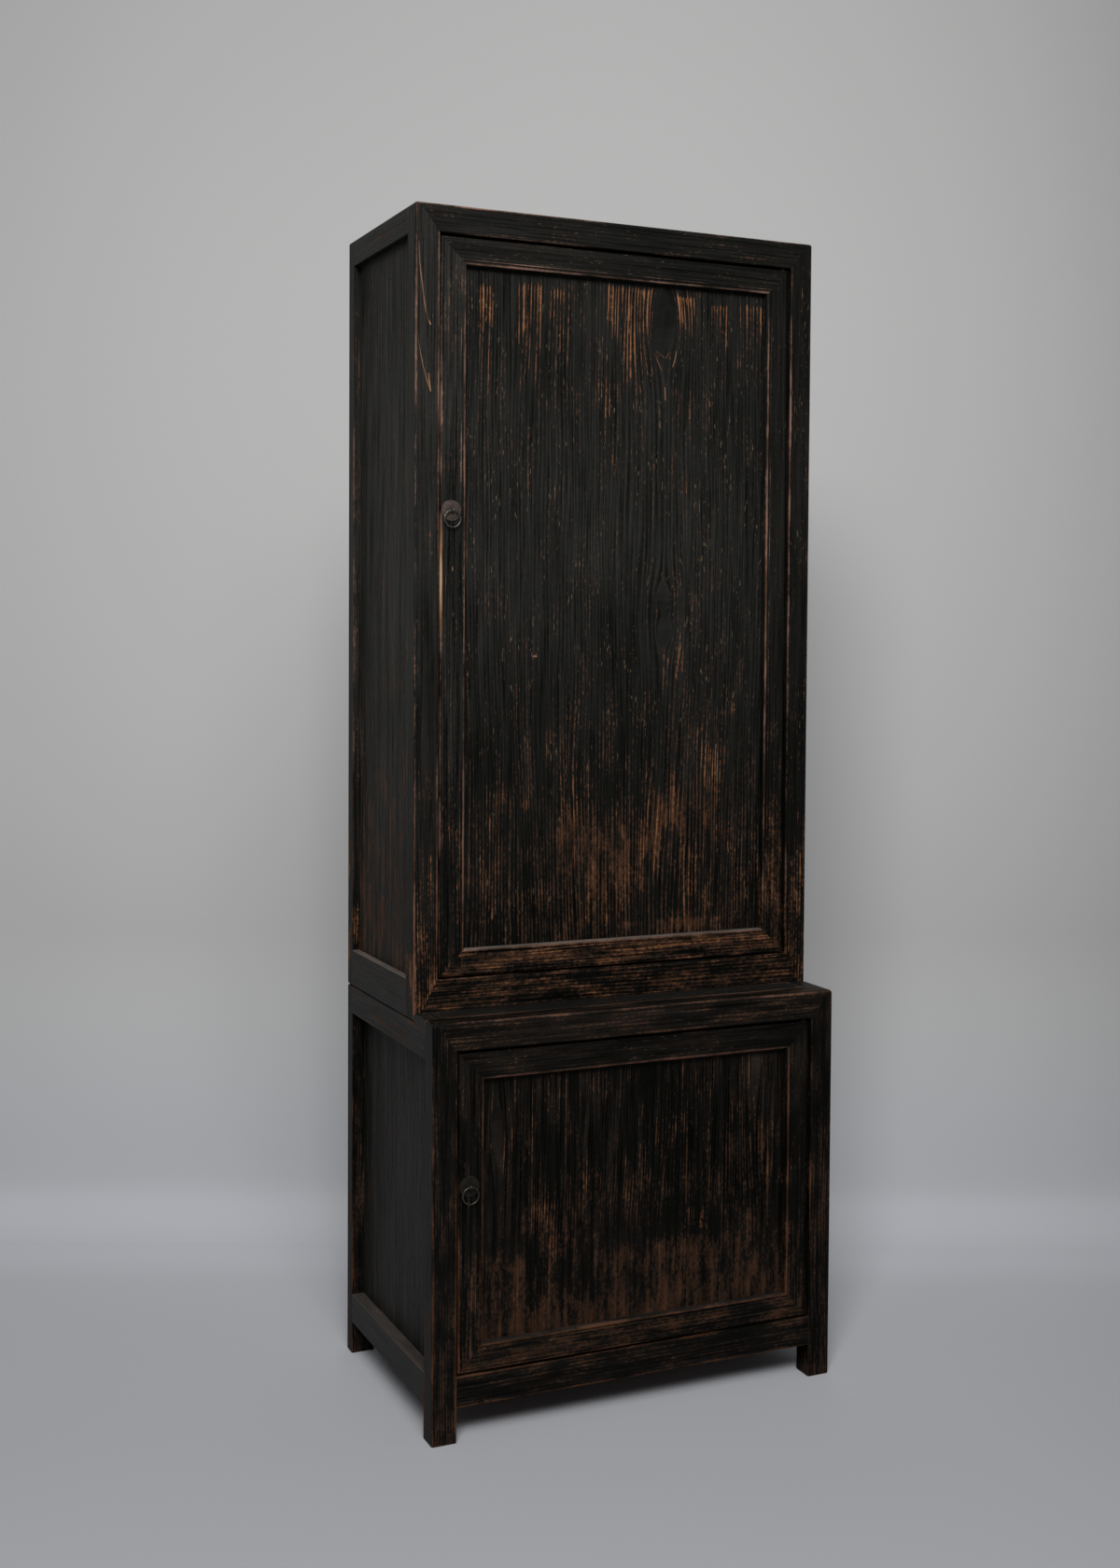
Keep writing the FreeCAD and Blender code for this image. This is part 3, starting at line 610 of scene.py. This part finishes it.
# How the members of each case are worn. A low scuff has the heights where it is full and where it ends,
# its share of scuffing and its share of rubbing through.
CASE_POSTS = {
    "lower": dict(low_scuff=(0.0, 900 * MM, 0.6, 0.2), haze=0.9),
    "upper": dict(low_scuff=(700 * MM, 1060 * MM, 0.65, 0.66), haze=0.3),
}
CASE_SIDE_PANELS = {
    "lower": dict(low_scuff=(100 * MM, 900 * MM, 0.25, 0.0), gloss=0.04),
    "upper": dict(low_scuff=(750 * MM, 1400 * MM, 0.64, 0.26), gloss=0.03),
}
CROSS_RAILS = {
    "lower_bottom": dict(rub=0.02, scuff=0.35, haze=0.8, edge_rub=0.85),
    "lower_top": dict(rub=0.02, scuff=0.35, haze=0.8, edge_rub=0.8),
    "upper_bottom": dict(rub=0.12, scuff=0.1, haze=0.6, edge_rub=0.85),
    "upper_top": dict(rub=0.12, scuff=0.1, haze=0.25, edge_rub=1.0),
}
SILL = dict(rub=0.46, scuff=0.66)
# How much dust and painted highlight lies along the tops of the side rails
SIDE_RAIL_DUST_AND_HIGHLIGHT = {"lower_bottom": 0.35, "lower_top": 0.0, "upper_bottom": 0.9, "upper_top": 0.0}
DOOR_FRAMES = {
    "lower": dict(haze=0.9, grey=0.45, low_scuff=(100 * MM, 420 * MM, 0.8, 0.15)),
    "upper": dict(haze=0.35, grey=0.45, low_scuff=(720 * MM, 1250 * MM, 0.85, 0.6)),
}
# The pull stile gets more grey than the hinge stile: partly painted light, as if from the left
PULL_STILE = dict(grey=0.85, scuff=0.1, thread=1.2)
# The tops of the door's bottom rails carry dust and a painted highlight on the bead
DOOR_MEMBERS = {
    "lower_pull_stile": PULL_STILE,
    "lower_top_rail": dict(haze=0.5),
    "lower_bottom_rail": dict(top_dust=0.1),
    "upper_pull_stile": dict(PULL_STILE, strokes=PULL_STILE_FLECKS, low_scuff=(720 * MM, 1250 * MM, 0.5, 0.45)),
    "upper_bottom_rail": dict(top_dust=0.8),
}
SEED_STEP = 1.37

seed = 0.0
for case in ("lower", "upper"):
    room = inner_room(case)
    for side in ("left", "right"):
        for end in ("front", "rear"):
            seed += SEED_STEP
            node = f"{case}_{end}_{side}_post"
            lacquer_node(
                node, UPRIGHT, seed, spacing=5 * MM, waviness=0.05, rub=0.06, scuff=0.0 if end == "front" else 0.3,
                edge_rub=0.6 if end == "rear" else 0.95 if side == "left" else 0.8, lines=0.4, inside=room,
                strokes=(POST_CRACKS if node == "upper_front_left_post" else ()),
                # The right-hand posts get less grey: painted shade, as if the light came from the left
                grey=0.95 if side == "left" else 0.32, **CASE_POSTS[case])
        for level in ("bottom", "top"):
            seed += SEED_STEP
            lacquer_node(
                f"{case}_{side}_{level}_rail", FORE_AND_AFT, seed, scuff=0.3, grey=1.0, edge_rub=0.5, lines=0.35,
                inside=room, relief=2 * MM, grey_low=0.7, top_dust=SIDE_RAIL_DUST_AND_HIGHLIGHT[f"{case}_{level}"])
        seed += SEED_STEP
        lacquer_node(
            f"{case}_{side}_panel", FACE_ON_SIDE, seed, spacing=8 * MM, waviness=0.12, scuff=0.12, rub=-0.02,
            grey=0.95, haze=0.3, lines=0.25, edge_rub=0.0, inside=room, relief=3 * MM, thread=2.0, grey_low=0.6,
            **CASE_SIDE_PANELS[case])
        if case == "upper":
            for shelf in ("lower", "upper"):
                seed += SEED_STEP
                pine_node(f"upper_{shelf}_shelf_{side}_bearer", FORE_AND_AFT, seed)
    for end in ("front", "rear"):
        for level in ("bottom", "top"):
            seed += SEED_STEP
            node = f"{case}_{end}_{level}_rail"
            wear = dict(CROSS_RAILS[f"{case}_{level}"])
            if node == "upper_front_bottom_rail":
                wear.update(SILL)
            lacquer_node(node, CROSSWAYS, seed, lines=0.35, inside=room, **wear)
    seed += SEED_STEP
    lacquer_node(
        f"{case}_back_panel", UPRIGHT, seed, spacing=8 * MM, waviness=0.1, rub=0.3, scuff=0.75, haze=1.0, grey=1.0,
        grey_low=0.8, lines=0.35, thread=1.2, edge_rub=0.0, inside=room)
    for part in ("pull_stile", "hinge_stile", "top_rail", "bottom_rail"):
        seed += SEED_STEP
        lacquer_node(
            f"{case}_door_{part}", UPRIGHT if part.endswith("stile") else CROSSWAYS, seed, rub=0.04, edge_rub=0.0,
            inside=inner_room(case, DOOR_COAT), bands=door_bands(case), lines=0.35,
            **{**DOOR_FRAMES[case], **DOOR_MEMBERS.get(f"{case}_{part}", {})})
    pine_node(f"{case}_door_stop", CROSSWAYS, seed)
    pine_node(f"{case}_floor_board", CROSSWAYS, seed + 3)

pine_node("lower_dust_board", CROSSWAYS, 90)
lacquer_node("lower_ledge_board", CROSSWAYS, 91, scuff=0.0, rub=-0.1, grey=1.1, grey_low=0.6, edge_rub=0.75,
             edge_reach=9 * MM, thread=0.4)
lacquer_node("upper_top_board", CROSSWAYS, 92, rub=0.0, grey=0.8, inside=inner_room("upper"))
pine_node("upper_lower_shelf", CROSSWAYS, 93)
pine_node("upper_upper_shelf", CROSSWAYS, 94)

# Places on the panels worn through along the grain: centre, half width, top, bottom, fade above the top, strength
UPPER_PATCHES = [
    (-0.230, 0.015, 1.778, 1.540, 0.016, 0.80), (-0.157, 0.024, 1.786, 1.540, 0.016, 0.92),
    (-0.108, 0.020, 1.782, 1.620, 0.016, 0.70), (0.022, 0.046, 1.796, 1.520, 0.014, 0.92),
    (0.118, 0.022, 1.792, 1.690, 0.008, 1.00), (0.182, 0.018, 1.782, 1.640, 0.010, 0.70),
    (0.246, 0.030, 1.784, 1.620, 0.016, 0.68), (0.083, 0.020, 1.722, 1.620, 0.010, 0.66),
    (-0.020, 0.022, 1.640, 1.400, 0.030, 0.52), (0.120, 0.024, 1.640, 1.380, 0.030, 0.48),
    (0.083, 0.026, 1.290, 1.180, 0.060, 0.46), (0.100, 0.030, 1.200, 0.980, 0.060, 0.44),
    (-0.170, 0.036, 0.960, 0.820, 0.060, 0.42), (-0.074, 0.009, 1.030, 0.700, 0.020, 0.72),
    (-0.026, 0.032, 0.920, 0.640, 0.060, 0.50), (0.048, 0.030, 0.935, 0.600, 0.070, 0.62),
    (0.131, 0.014, 0.960, 0.860, 0.010, 0.60), (0.130, 0.042, 0.890, 0.700, 0.030, 0.58),
    (0.185, 0.030, 1.040, 0.740, 0.040, 0.50),
]
UPPER_STROKES = [
    (0.0635, 1.7010, 0.0778, 1.6709, 0.001, 0.9 * MM, 1.1), (0.1038, 1.7069, 0.0970, 1.6784, -0.001, 0.9 * MM, 1.1),
    (0.0688, 1.7029, 0.0828, 1.6914, 0.0, 0.9 * MM, 1.0), (0.0933, 1.7046, 0.0828, 1.6914, 0.0, 0.9 * MM, 1.0),
    (0.0832, 1.6466, 0.0843, 1.6232, 0.0, 1.0 * MM, 1.0), (-0.1461, 1.2060, -0.1461, 1.2020, 0.0, 4.0 * MM, 1.0),
]
UPPER_SCUFFS = [
    (-0.170, 0.050, 0.960, 0.760, 0.090, 0.65), (-0.020, 0.110, 0.900, 0.600, 0.120, 1.00),
    (0.120, 0.070, 0.940, 0.600, 0.120, 0.90), (0.131, 0.016, 0.960, 0.860, 0.012, 0.95),
    (0.100, 0.110, 0.762, 0.660, 0.020, 0.95), (-0.110, 0.060, 0.770, 0.650, 0.030, 0.85),
    (-0.220, 0.050, 0.850, 0.640, 0.060, 0.60), (0.240, 0.040, 1.000, 0.640, 0.100, 0.50),
]
LOWER_PATCHES = [
    (-0.160, 0.030, 0.340, 0.160, 0.030, 0.62), (0.100, 0.060, 0.300, 0.140, 0.030, 0.50),
    (0.190, 0.026, 0.470, 0.280, 0.030, 0.56), (-0.220, 0.016, 0.460, 0.280, 0.030, 0.54),
    (-0.080, 0.020, 0.380, 0.200, 0.030, 0.50), (0.040, 0.020, 0.460, 0.260, 0.030, 0.46),
]
LOWER_SCUFFS = [
    (-0.150, 0.060, 0.330, 0.100, 0.060, 0.75), (0.060, 0.160, 0.240, 0.080, 0.060, 0.80),
    (0.200, 0.050, 0.400, 0.050, 0.090, 0.80), (-0.220, 0.050, 0.250, 0.080, 0.060, 0.75),
    (0.020, 0.220, 0.340, 0.050, 0.120, 0.45),
]
# Knots: where they are, their radius, and how far they are drawn out along the grain
UPPER_KNOTS = [(0.083, 1.752, 0.022, 2.4), (0.084, 1.30, 0.014, 2.0), (0.086, 1.245, 0.012, 2.0)]
LOWER_KNOTS = [(-0.243, 0.470, 0.010, 5.0), (0.215, 0.530, 0.009, 5.0)]
lacquer_node(
    "upper_door_panel", UPRIGHT, 40.0, spacing=6.2 * MM, waviness=0.06, lines=0.6, pale=0.4, edge_rub=0.0,
    grey=0.75, haze=0.3, thread=0.9, dust=0.75, patches=UPPER_PATCHES, scuffs=UPPER_SCUFFS, knots=UPPER_KNOTS,
    inside=inner_room("upper", DOOR_PANEL_COAT), strokes=UPPER_STROKES, low_scuff=(745 * MM, 1250 * MM, 0.48, 0.27))
lacquer_node(
    "lower_door_panel", UPRIGHT, 47.0, spacing=5.2 * MM, waviness=0.07, lines=0.6, rub=0.25, edge_rub=0.0,
    grey=0.3, haze=0.7, thread=1.4, patches=LOWER_PATCHES, scuffs=LOWER_SCUFFS, knots=LOWER_KNOTS,
    inside=inner_room("lower", DOOR_PANEL_COAT), low_scuff=(105 * MM, 285 * MM, 1.35, 0.14), plain_foot=(0.20, 0.42))


# Ring pulls: a hammered round backplate, a staple whose eye holds the ring, and the forged ring
def metal(name, base, worn, rough, bright, gloss=0.5):
    """Old metal, mottled between its dull and its handled colour."""
    material, g, shader = new_material(name)
    position = g.node("ShaderNodeTexCoord").outputs["Object"]
    mottle = g.noise(position, 320.0, 4.0, 0.62)
    grit = g.noise(position, 1500.0, 2.0, 0.5)
    g.put(shader.inputs["Metallic"], g.smooth(mottle, 0.3, 0.62, bright * 0.4, bright))
    colour = g.mix(g.smooth(mottle, 0.38, 0.66), base, worn)
    height = g.math("ADD", g.math("MULTIPLY", mottle, 0.8), g.math("MULTIPLY", grit, 0.2))
    put_finish(g, shader, colour, g.line(mottle, 0.3, 0.7, rough, rough - 0.18), height, 0.4 * MM, 0.8, gloss)
    return material


PULL_X = -293.75 * MM
PULL_Z = {"lower": 395 * MM, "upper": 1430 * MM}
PLATE_THICK, DOOR_SET_BACK = 1.6 * MM, 1.5 * MM
EYE_AHEAD, EYE_HOLE, EYE_RADIUS, STAPLE_HALF = 5 * MM, 1.7 * MM, 4 * MM, 1.3 * MM
RING_RADIUS, WIRE_RADIUS = 13 * MM, 1.3 * MM
LEG_START, LEG_HALF, LEG_APART, BEND_RADIUS, SLACK = 0.6 * MM, 0.72 * MM, 0.75 * MM, 0.25 * MM, 0.02 * MM
CLINCH_REACH, CLINCH_THICK, TIP_SHORT, TIP_WIDTH, TIP_DEPTH = 14 * MM, 1.4 * MM, 0.4 * MM, 0.55, 0.6
HAMMERED_FACE, UNEVEN_RIM, RING_SWELL, RING_PITTING = 0.22 * MM, 0.03, 0.09, 0.03
SIDEWAYS, INTO = Vector((1, 0, 0)), Vector((0, 1, 0))

# The plate's outline from the middle of its face over its rim to its back, in millimetres outwards and backwards
PLATE_OUTLINE = [(0.0, 0.15), (2.6, 0.1), (5.5, -0.35), (9.0, -0.55), (12.0, -0.3), (14.2, 0.15), (15.2, 0.1),
                 (16.0, 0.0), (16.4, 0.3), (16.5, 0.8), (16.3, 1.3), (15.8, 1.6), (0.0, 1.6)]


def verts_of(result, key="geom"):
    return [item for item in result[key] if isinstance(item, bmesh.types.BMVert)]


def edges_of(result, key="geom"):
    return [item for item in result[key] if isinstance(item, bmesh.types.BMEdge)]


def full_turn(mesh, centre, axis, steps):
    """Spins everything in a mesh all the way round."""
    bmesh.ops.spin(mesh, geom=list(mesh.verts) + list(mesh.edges), cent=centre, axis=axis, angle=2 * math.pi,
                   steps=steps, use_merge=True)


def backplate(middle):
    """A slightly domed disc, dished in the middle, with a rolled rim. middle is on its front."""
    mesh = bmesh.new()
    line = [mesh.verts.new(middle + Vector((out * MM, back * MM, 0))) for out, back in PLATE_OUTLINE]
    for pair in zip(line, line[1:]):
        mesh.edges.new(pair)
    full_turn(mesh, middle, INTO, 72)
    bmesh.ops.remove_doubles(mesh, verts=mesh.verts, dist=0.01 * MM)
    for vert in mesh.verts:
        if vert.co.y < middle.y + PLATE_THICK * 0.7:
            vert.co.y += noise.noise(vert.co * 260) * HAMMERED_FACE
        away = vert.co - middle
        away.y = 0
        vert.co += away * noise.noise(away * 70 + Vector((0, middle.z, 0))) * UNEVEN_RIM
    return mesh


def forged_ring(middle):
    """A ring of round wire, a little uneven, hanging from the eye."""
    mesh = bmesh.new()
    centre = middle - Vector((0, 0, RING_RADIUS))
    made = bmesh.ops.create_circle(mesh, segments=20, radius=WIRE_RADIUS)
    bmesh.ops.rotate(mesh, verts=made["verts"], cent=(0, 0, 0), matrix=Matrix.Rotation(math.pi / 2, 3, "Y"))
    bmesh.ops.translate(mesh, verts=made["verts"], vec=centre + Vector((0, 0, RING_RADIUS)))
    full_turn(mesh, centre, INTO, 120)
    for vert in mesh.verts:
        spoke = vert.co - centre
        spoke.y = 0
        core = centre + spoke.normalized() * RING_RADIUS
        free = max(0.0, min(1.0, (RING_RADIUS - spoke.z) / RING_RADIUS))
        swell = 1 + free * (RING_SWELL * noise.noise(spoke * 160) + RING_PITTING * noise.noise(vert.co * 700))
        vert.co = core + (vert.co - core) * swell
    return mesh


def oval(mesh, half_width, half_height, centre):
    """The outline of flattened wire at a place, wide along X and high along Z."""
    made = bmesh.ops.create_circle(mesh, segments=16, radius=1.0)
    for vert in made["verts"]:
        vert.co = Vector((vert.co.x * half_width, 0, vert.co.y * half_height))
    bmesh.ops.translate(mesh, verts=made["verts"], vec=centre)
    return made["verts"]


def staple(middle, rear):
    """A staple of flattened wire: an eye in front, two legs through the stile, turned up and down behind it."""
    mesh = bmesh.new()
    oval(mesh, STAPLE_HALF, (EYE_RADIUS - EYE_HOLE) / 2, middle + Vector((0, 0, (EYE_RADIUS + EYE_HOLE) / 2)))
    full_turn(mesh, middle, SIDEWAYS, 40)
    turned = rear + CLINCH_THICK / 2 - LEG_HALF
    for up in (1, -1):
        start = middle + Vector((0, EYE_HOLE + LEG_START, up * LEG_APART))
        outline = oval(mesh, STAPLE_HALF, LEG_HALF, start)
        ring_edges = [e for e in mesh.edges if all(v in outline for v in e.verts)]
        bmesh.ops.contextual_create(mesh, geom=ring_edges)
        leg = bmesh.ops.extrude_edge_only(mesh, edges=ring_edges)
        bmesh.ops.translate(mesh, verts=verts_of(leg), vec=INTO * (turned - start.y - SLACK))
        corner = Vector((middle.x, turned - SLACK, start.z + up * (LEG_HALF + BEND_RADIUS)))
        bend = bmesh.ops.spin(mesh, geom=verts_of(leg) + edges_of(leg), cent=corner, axis=SIDEWAYS,
                              angle=up * math.pi / 2, steps=8)
        last = verts_of(bend, "geom_last")
        tip = bmesh.ops.extrude_edge_only(mesh, edges=edges_of(bend, "geom_last"))
        foot = (max(v.co.z for v in last) + min(v.co.z for v in last)) / 2
        tip_height = middle.z + up * (CLINCH_REACH - TIP_SHORT)
        bmesh.ops.translate(mesh, verts=verts_of(tip), vec=Vector((0, 0, tip_height - foot)))
        for vert in verts_of(tip):
            vert.co.x = middle.x + (vert.co.x - middle.x) * TIP_WIDTH
            vert.co.y = rear + (vert.co.y - rear) * TIP_DEPTH
        bmesh.ops.contextual_create(mesh, geom=edges_of(tip))
    bmesh.ops.recalc_face_normals(mesh, faces=mesh.faces)
    return mesh


# The lower pull's metals are darker copies of the upper ones: painted shade, like all colours lower down on the
# cabinet
PLATE_METAL = {"lower": metal("patinated_brass_lower_in_painted_shade", linear(13, 12, 9), linear(32, 28, 23), 0.64, 0.3, 0.12),
               "upper": metal("patinated_brass_upper", linear(34, 25, 20), linear(68, 52, 44), 0.6, 0.4)}
RING_METAL = {"lower": metal("forged_iron_lower_in_painted_shade", linear(22, 20, 17), linear(70, 64, 54), 0.45, 0.8),
              "upper": metal("forged_iron_upper", linear(32, 31, 30), linear(98, 95, 92), 0.4, 0.9)}
for case in ("lower", "upper"):
    face = FRONT[case] + DOOR_SET_BACK
    front = Vector((PULL_X, face - PLATE_THICK, PULL_Z[case]))
    eye = front - INTO * EYE_AHEAD
    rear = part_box(f"{case}_pull_staple")[1][1] - CLINCH_THICK
    for part, mesh, material, body, finish in (
            ("plate", backplate(front), PLATE_METAL[case], f"{case}_door", "plate_brass"),
            ("staple", staple(eye, rear), RING_METAL[case], f"{case}_door", "pull_iron"),
            ("ring", forged_ring(eye), RING_METAL[case], f"{case}_ring", "pull_iron")):
        bmesh.ops.recalc_face_normals(mesh, faces=mesh.faces)
        for polygon in mesh.faces:
            polygon.smooth = True
        piece = make_object(f"{case}_pull_{part}_forged", mesh, material)
        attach(piece, body)
        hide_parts(f"{case}_pull_{part}")


# Where the photo was taken from, and how the camera was held
CAMERA_YAW, CAMERA_PITCH, CAMERA_ROLL = math.radians(24.5105), math.radians(-2.1049), math.radians(0.3674)
CAMERA_PLACE = Vector((-1.2887, -2.77515, 1.2360))
ahead = Vector((math.sin(CAMERA_YAW), math.cos(CAMERA_YAW), 0))
aside = Vector((math.cos(CAMERA_YAW), -math.sin(CAMERA_YAW), 0))
upward = Vector((0, 0, 1))

# The room: a floor that sweeps up into a wall, square to that view.
# The painted light and shade in its paint follow the way over the floor and up the wall, and the way aside, both in
# metres from the camera.
WALL_AHEAD, COVE, WALL_RISE, ROOM_HALF_WIDTH = 4.2, 0.55, 5, 9
FLOOR_LEVEL, FLOOR_RADIUS = -0.5 * MM, 14
FADE_FROM, FADE_TO = 4.5, 9.0
SWEEP_PAINTED_LIGHT = [(2.4, 0.81), (2.9, 0.87), (3.4, 1.02), (3.65, 1.2), (3.82, 1.15), (4.0, 0.95), (4.35, 0.92),
               (5.3, 0.99), (6.9, 0.79)]
SIDE_PAINTED_LIGHT = [(-1.3, 1.03), (-0.7, 1.1), (0.8, 1.05), (1.3, 0.84)]


def shade_along(g, value, steps):
    """A share that follows a value through a few steps, smoothly between them."""
    curve = g.node("ShaderNodeFloatCurve")
    low, high = steps[0][0], steps[-1][0]
    points = curve.mapping.curves[0].points
    places = [((at - low) / (high - low), share / 2) for at, share in steps]
    points[0].location, points[-1].location = places[0], places[-1]
    for place in places[1:-1]:
        points.new(*place)
    curve.mapping.update()
    g.put(curve.inputs["Value"], g.line(value, low, high))
    return g.math("MULTIPLY", curve.outputs[0], 2.0)


def seen_plainly(g):
    """1 for rays that show the backdrop as it is: from the camera, or thrown back or let through by a piece."""
    path = g.node("ShaderNodeLightPath").outputs
    return g.strongest([path["Is Camera Ray"], path["Is Glossy Ray"], path["Is Transmission Ray"]])


def room_paint():
    """Paint of the floor, its cove and the wall, with painted light and shade along the sweep and aside. Seen from
    behind, the wall is clear.
    """
    material, g, shader = new_material("room_paint")
    shader.inputs["Roughness"].default_value = 0.9
    shader.inputs["Specular IOR Level"].default_value = 0.1
    geometry = g.node("ShaderNodeNewGeometry").outputs
    place = geometry["Position"]
    height = g.split(place)[2]
    from_camera = g.vector("SUBTRACT", place, CAMERA_PLACE)
    way_in = g.math("ADD", g.vector("DOT_PRODUCT", from_camera, ahead), height)
    way_aside = g.vector("DOT_PRODUCT", from_camera, aside)
    # Painted light and shade: the paint made lighter and darker along the sweep and aside
    share = g.math("MULTIPLY", shade_along(g, way_in, SWEEP_PAINTED_LIGHT), shade_along(g, way_aside, SIDE_PAINTED_LIGHT))
    paint = g.mix(g.smooth(height, 0.0, 0.5), FLOOR_GREY, WALL_GREY)
    g.put(shader.inputs["Base Color"], g.vector("MULTIPLY", paint, g.join(share, share, share)))
    clear = g.node("ShaderNodeBsdfTransparent")
    solid = g.node("ShaderNodeMixShader", {0: geometry["Backfacing"], 1: shader.outputs[0], 2: clear.outputs[0]})
    far = g.vector("LENGTH", g.vector("MULTIPLY", place, (1, 1, 0)))
    haze = g.node("ShaderNodeEmission", {"Color": BACKDROP_GREY})
    faint = g.math("MULTIPLY", g.smooth(far, FADE_FROM, FADE_TO), seen_plainly(g))
    faded = g.node("ShaderNodeMixShader", {0: faint, 1: solid.outputs[0], 2: haze.outputs[0]})
    g.put(material.node_tree.nodes["Material Output"].inputs["Surface"], faded.outputs[0])
    return material


def sweep_wall():
    """The wall with its cove, seen from its front only."""
    mesh = bmesh.new()
    foot = CAMERA_PLACE + ahead * (WALL_AHEAD - COVE)
    foot.z = 0
    start = mesh.verts.new(foot - aside * ROOM_HALF_WIDTH)
    strip = bmesh.ops.extrude_vert_indiv(mesh, verts=[start])
    bmesh.ops.translate(mesh, verts=strip["verts"], vec=aside * 2 * ROOM_HALF_WIDTH)
    edges = list(mesh.edges)
    bmesh.ops.spin(mesh, geom=edges, cent=foot + upward * COVE, axis=aside, angle=math.pi / 2, steps=24)
    top_edges = [e for e in mesh.edges if all(v.co.z > COVE - 1 * MM for v in e.verts)]
    raised = bmesh.ops.extrude_edge_only(mesh, edges=top_edges)
    bmesh.ops.translate(mesh, verts=verts_of(raised), vec=upward * WALL_RISE)
    for face in mesh.faces:
        face.smooth = True
        face.normal_update()
        if face.normal.dot(upward - ahead) < 0:
            face.normal_flip()
    return mesh


paint = room_paint()
wall = make_object("studio_wall", sweep_wall(), paint)
wall.visible_shadow = False
wall.visible_diffuse = False
floor_mesh = bmesh.new()
bmesh.ops.create_circle(floor_mesh, cap_ends=True, segments=96, radius=FLOOR_RADIUS)
bmesh.ops.translate(floor_mesh, verts=floor_mesh.verts, vec=upward * FLOOR_LEVEL)
floor = make_object("studio_floor", floor_mesh, paint)

# Light: a dim even sky, and three soft lamps
SKY_WHITE, SKY_LEVEL = linear(236, 238, 242), 0.2
world = bpy.data.worlds.new("studio")
bpy.context.scene.world = world
world.use_nodes = True
g = Graph(world.node_tree)
seen = seen_plainly(g)
sky = world.node_tree.nodes["Background"]
g.put(sky.inputs["Color"], g.mix(seen, SKY_WHITE, BACKDROP_GREY))
g.put(sky.inputs["Strength"], g.blend(seen, SKY_LEVEL, 1.0))


def lamp(name, place, target, size, power):
    light = bpy.data.lights.new(name, "AREA")
    light.shape = "RECTANGLE"
    light.size, light.size_y = size
    light.energy = power
    holder = bpy.data.objects.new(name, light)
    bpy.context.scene.collection.objects.link(holder)
    holder.location = place
    holder.rotation_euler = (Vector(target) - Vector(place)).to_track_quat("-Z", "Y").to_euler()
    return holder


lamp("overhead", place=(-1.2, -3.2, 4.2), target=(0.0, 0.4, 0.7), size=(2.2, 2.2), power=140)
behind = lamp("behind", place=(1.5, 3.6, 2.8), target=(0.0, 0.2, 0.9), size=(3.0, 2.5), power=18)
behind.visible_camera = False
lamp("window", place=(-2.25, -4.1, 4.0), target=(0.0, 0.4, 0.8), size=(2.0, 1.5), power=226)

# Camera. The photo's width, height, focal length and optical centre are in its pixels.
PHOTO_WIDTH, PHOTO_HEIGHT, FOCAL_LENGTH = 1200, 1680, 1946.996
OPTICAL_CENTRE = (617.87, 753.42)
FILM = 36
data = bpy.data.cameras.new("camera")
camera = bpy.data.objects.new("camera", data)
bpy.context.scene.collection.objects.link(camera)
look = ahead * math.cos(CAMERA_PITCH) + upward * math.sin(CAMERA_PITCH)
over = upward * math.cos(CAMERA_PITCH) - ahead * math.sin(CAMERA_PITCH)
right = aside * math.cos(CAMERA_ROLL) + over * math.sin(CAMERA_ROLL)
top = over * math.cos(CAMERA_ROLL) - aside * math.sin(CAMERA_ROLL)
turn = Matrix((right, top, -look)).transposed()
camera.matrix_world = Matrix.Translation(CAMERA_PLACE) @ turn.to_4x4()
data.sensor_width = FILM
data.lens = FOCAL_LENGTH / PHOTO_HEIGHT * FILM
data.shift_x = (PHOTO_WIDTH / 2 - OPTICAL_CENTRE[0]) / PHOTO_HEIGHT
data.shift_y = (OPTICAL_CENTRE[1] - PHOTO_HEIGHT / 2) / PHOTO_HEIGHT
data.clip_start, data.clip_end = 0.05, 60
bpy.context.scene.camera = camera
bpy.context.scene.view_settings.view_transform = "Standard"
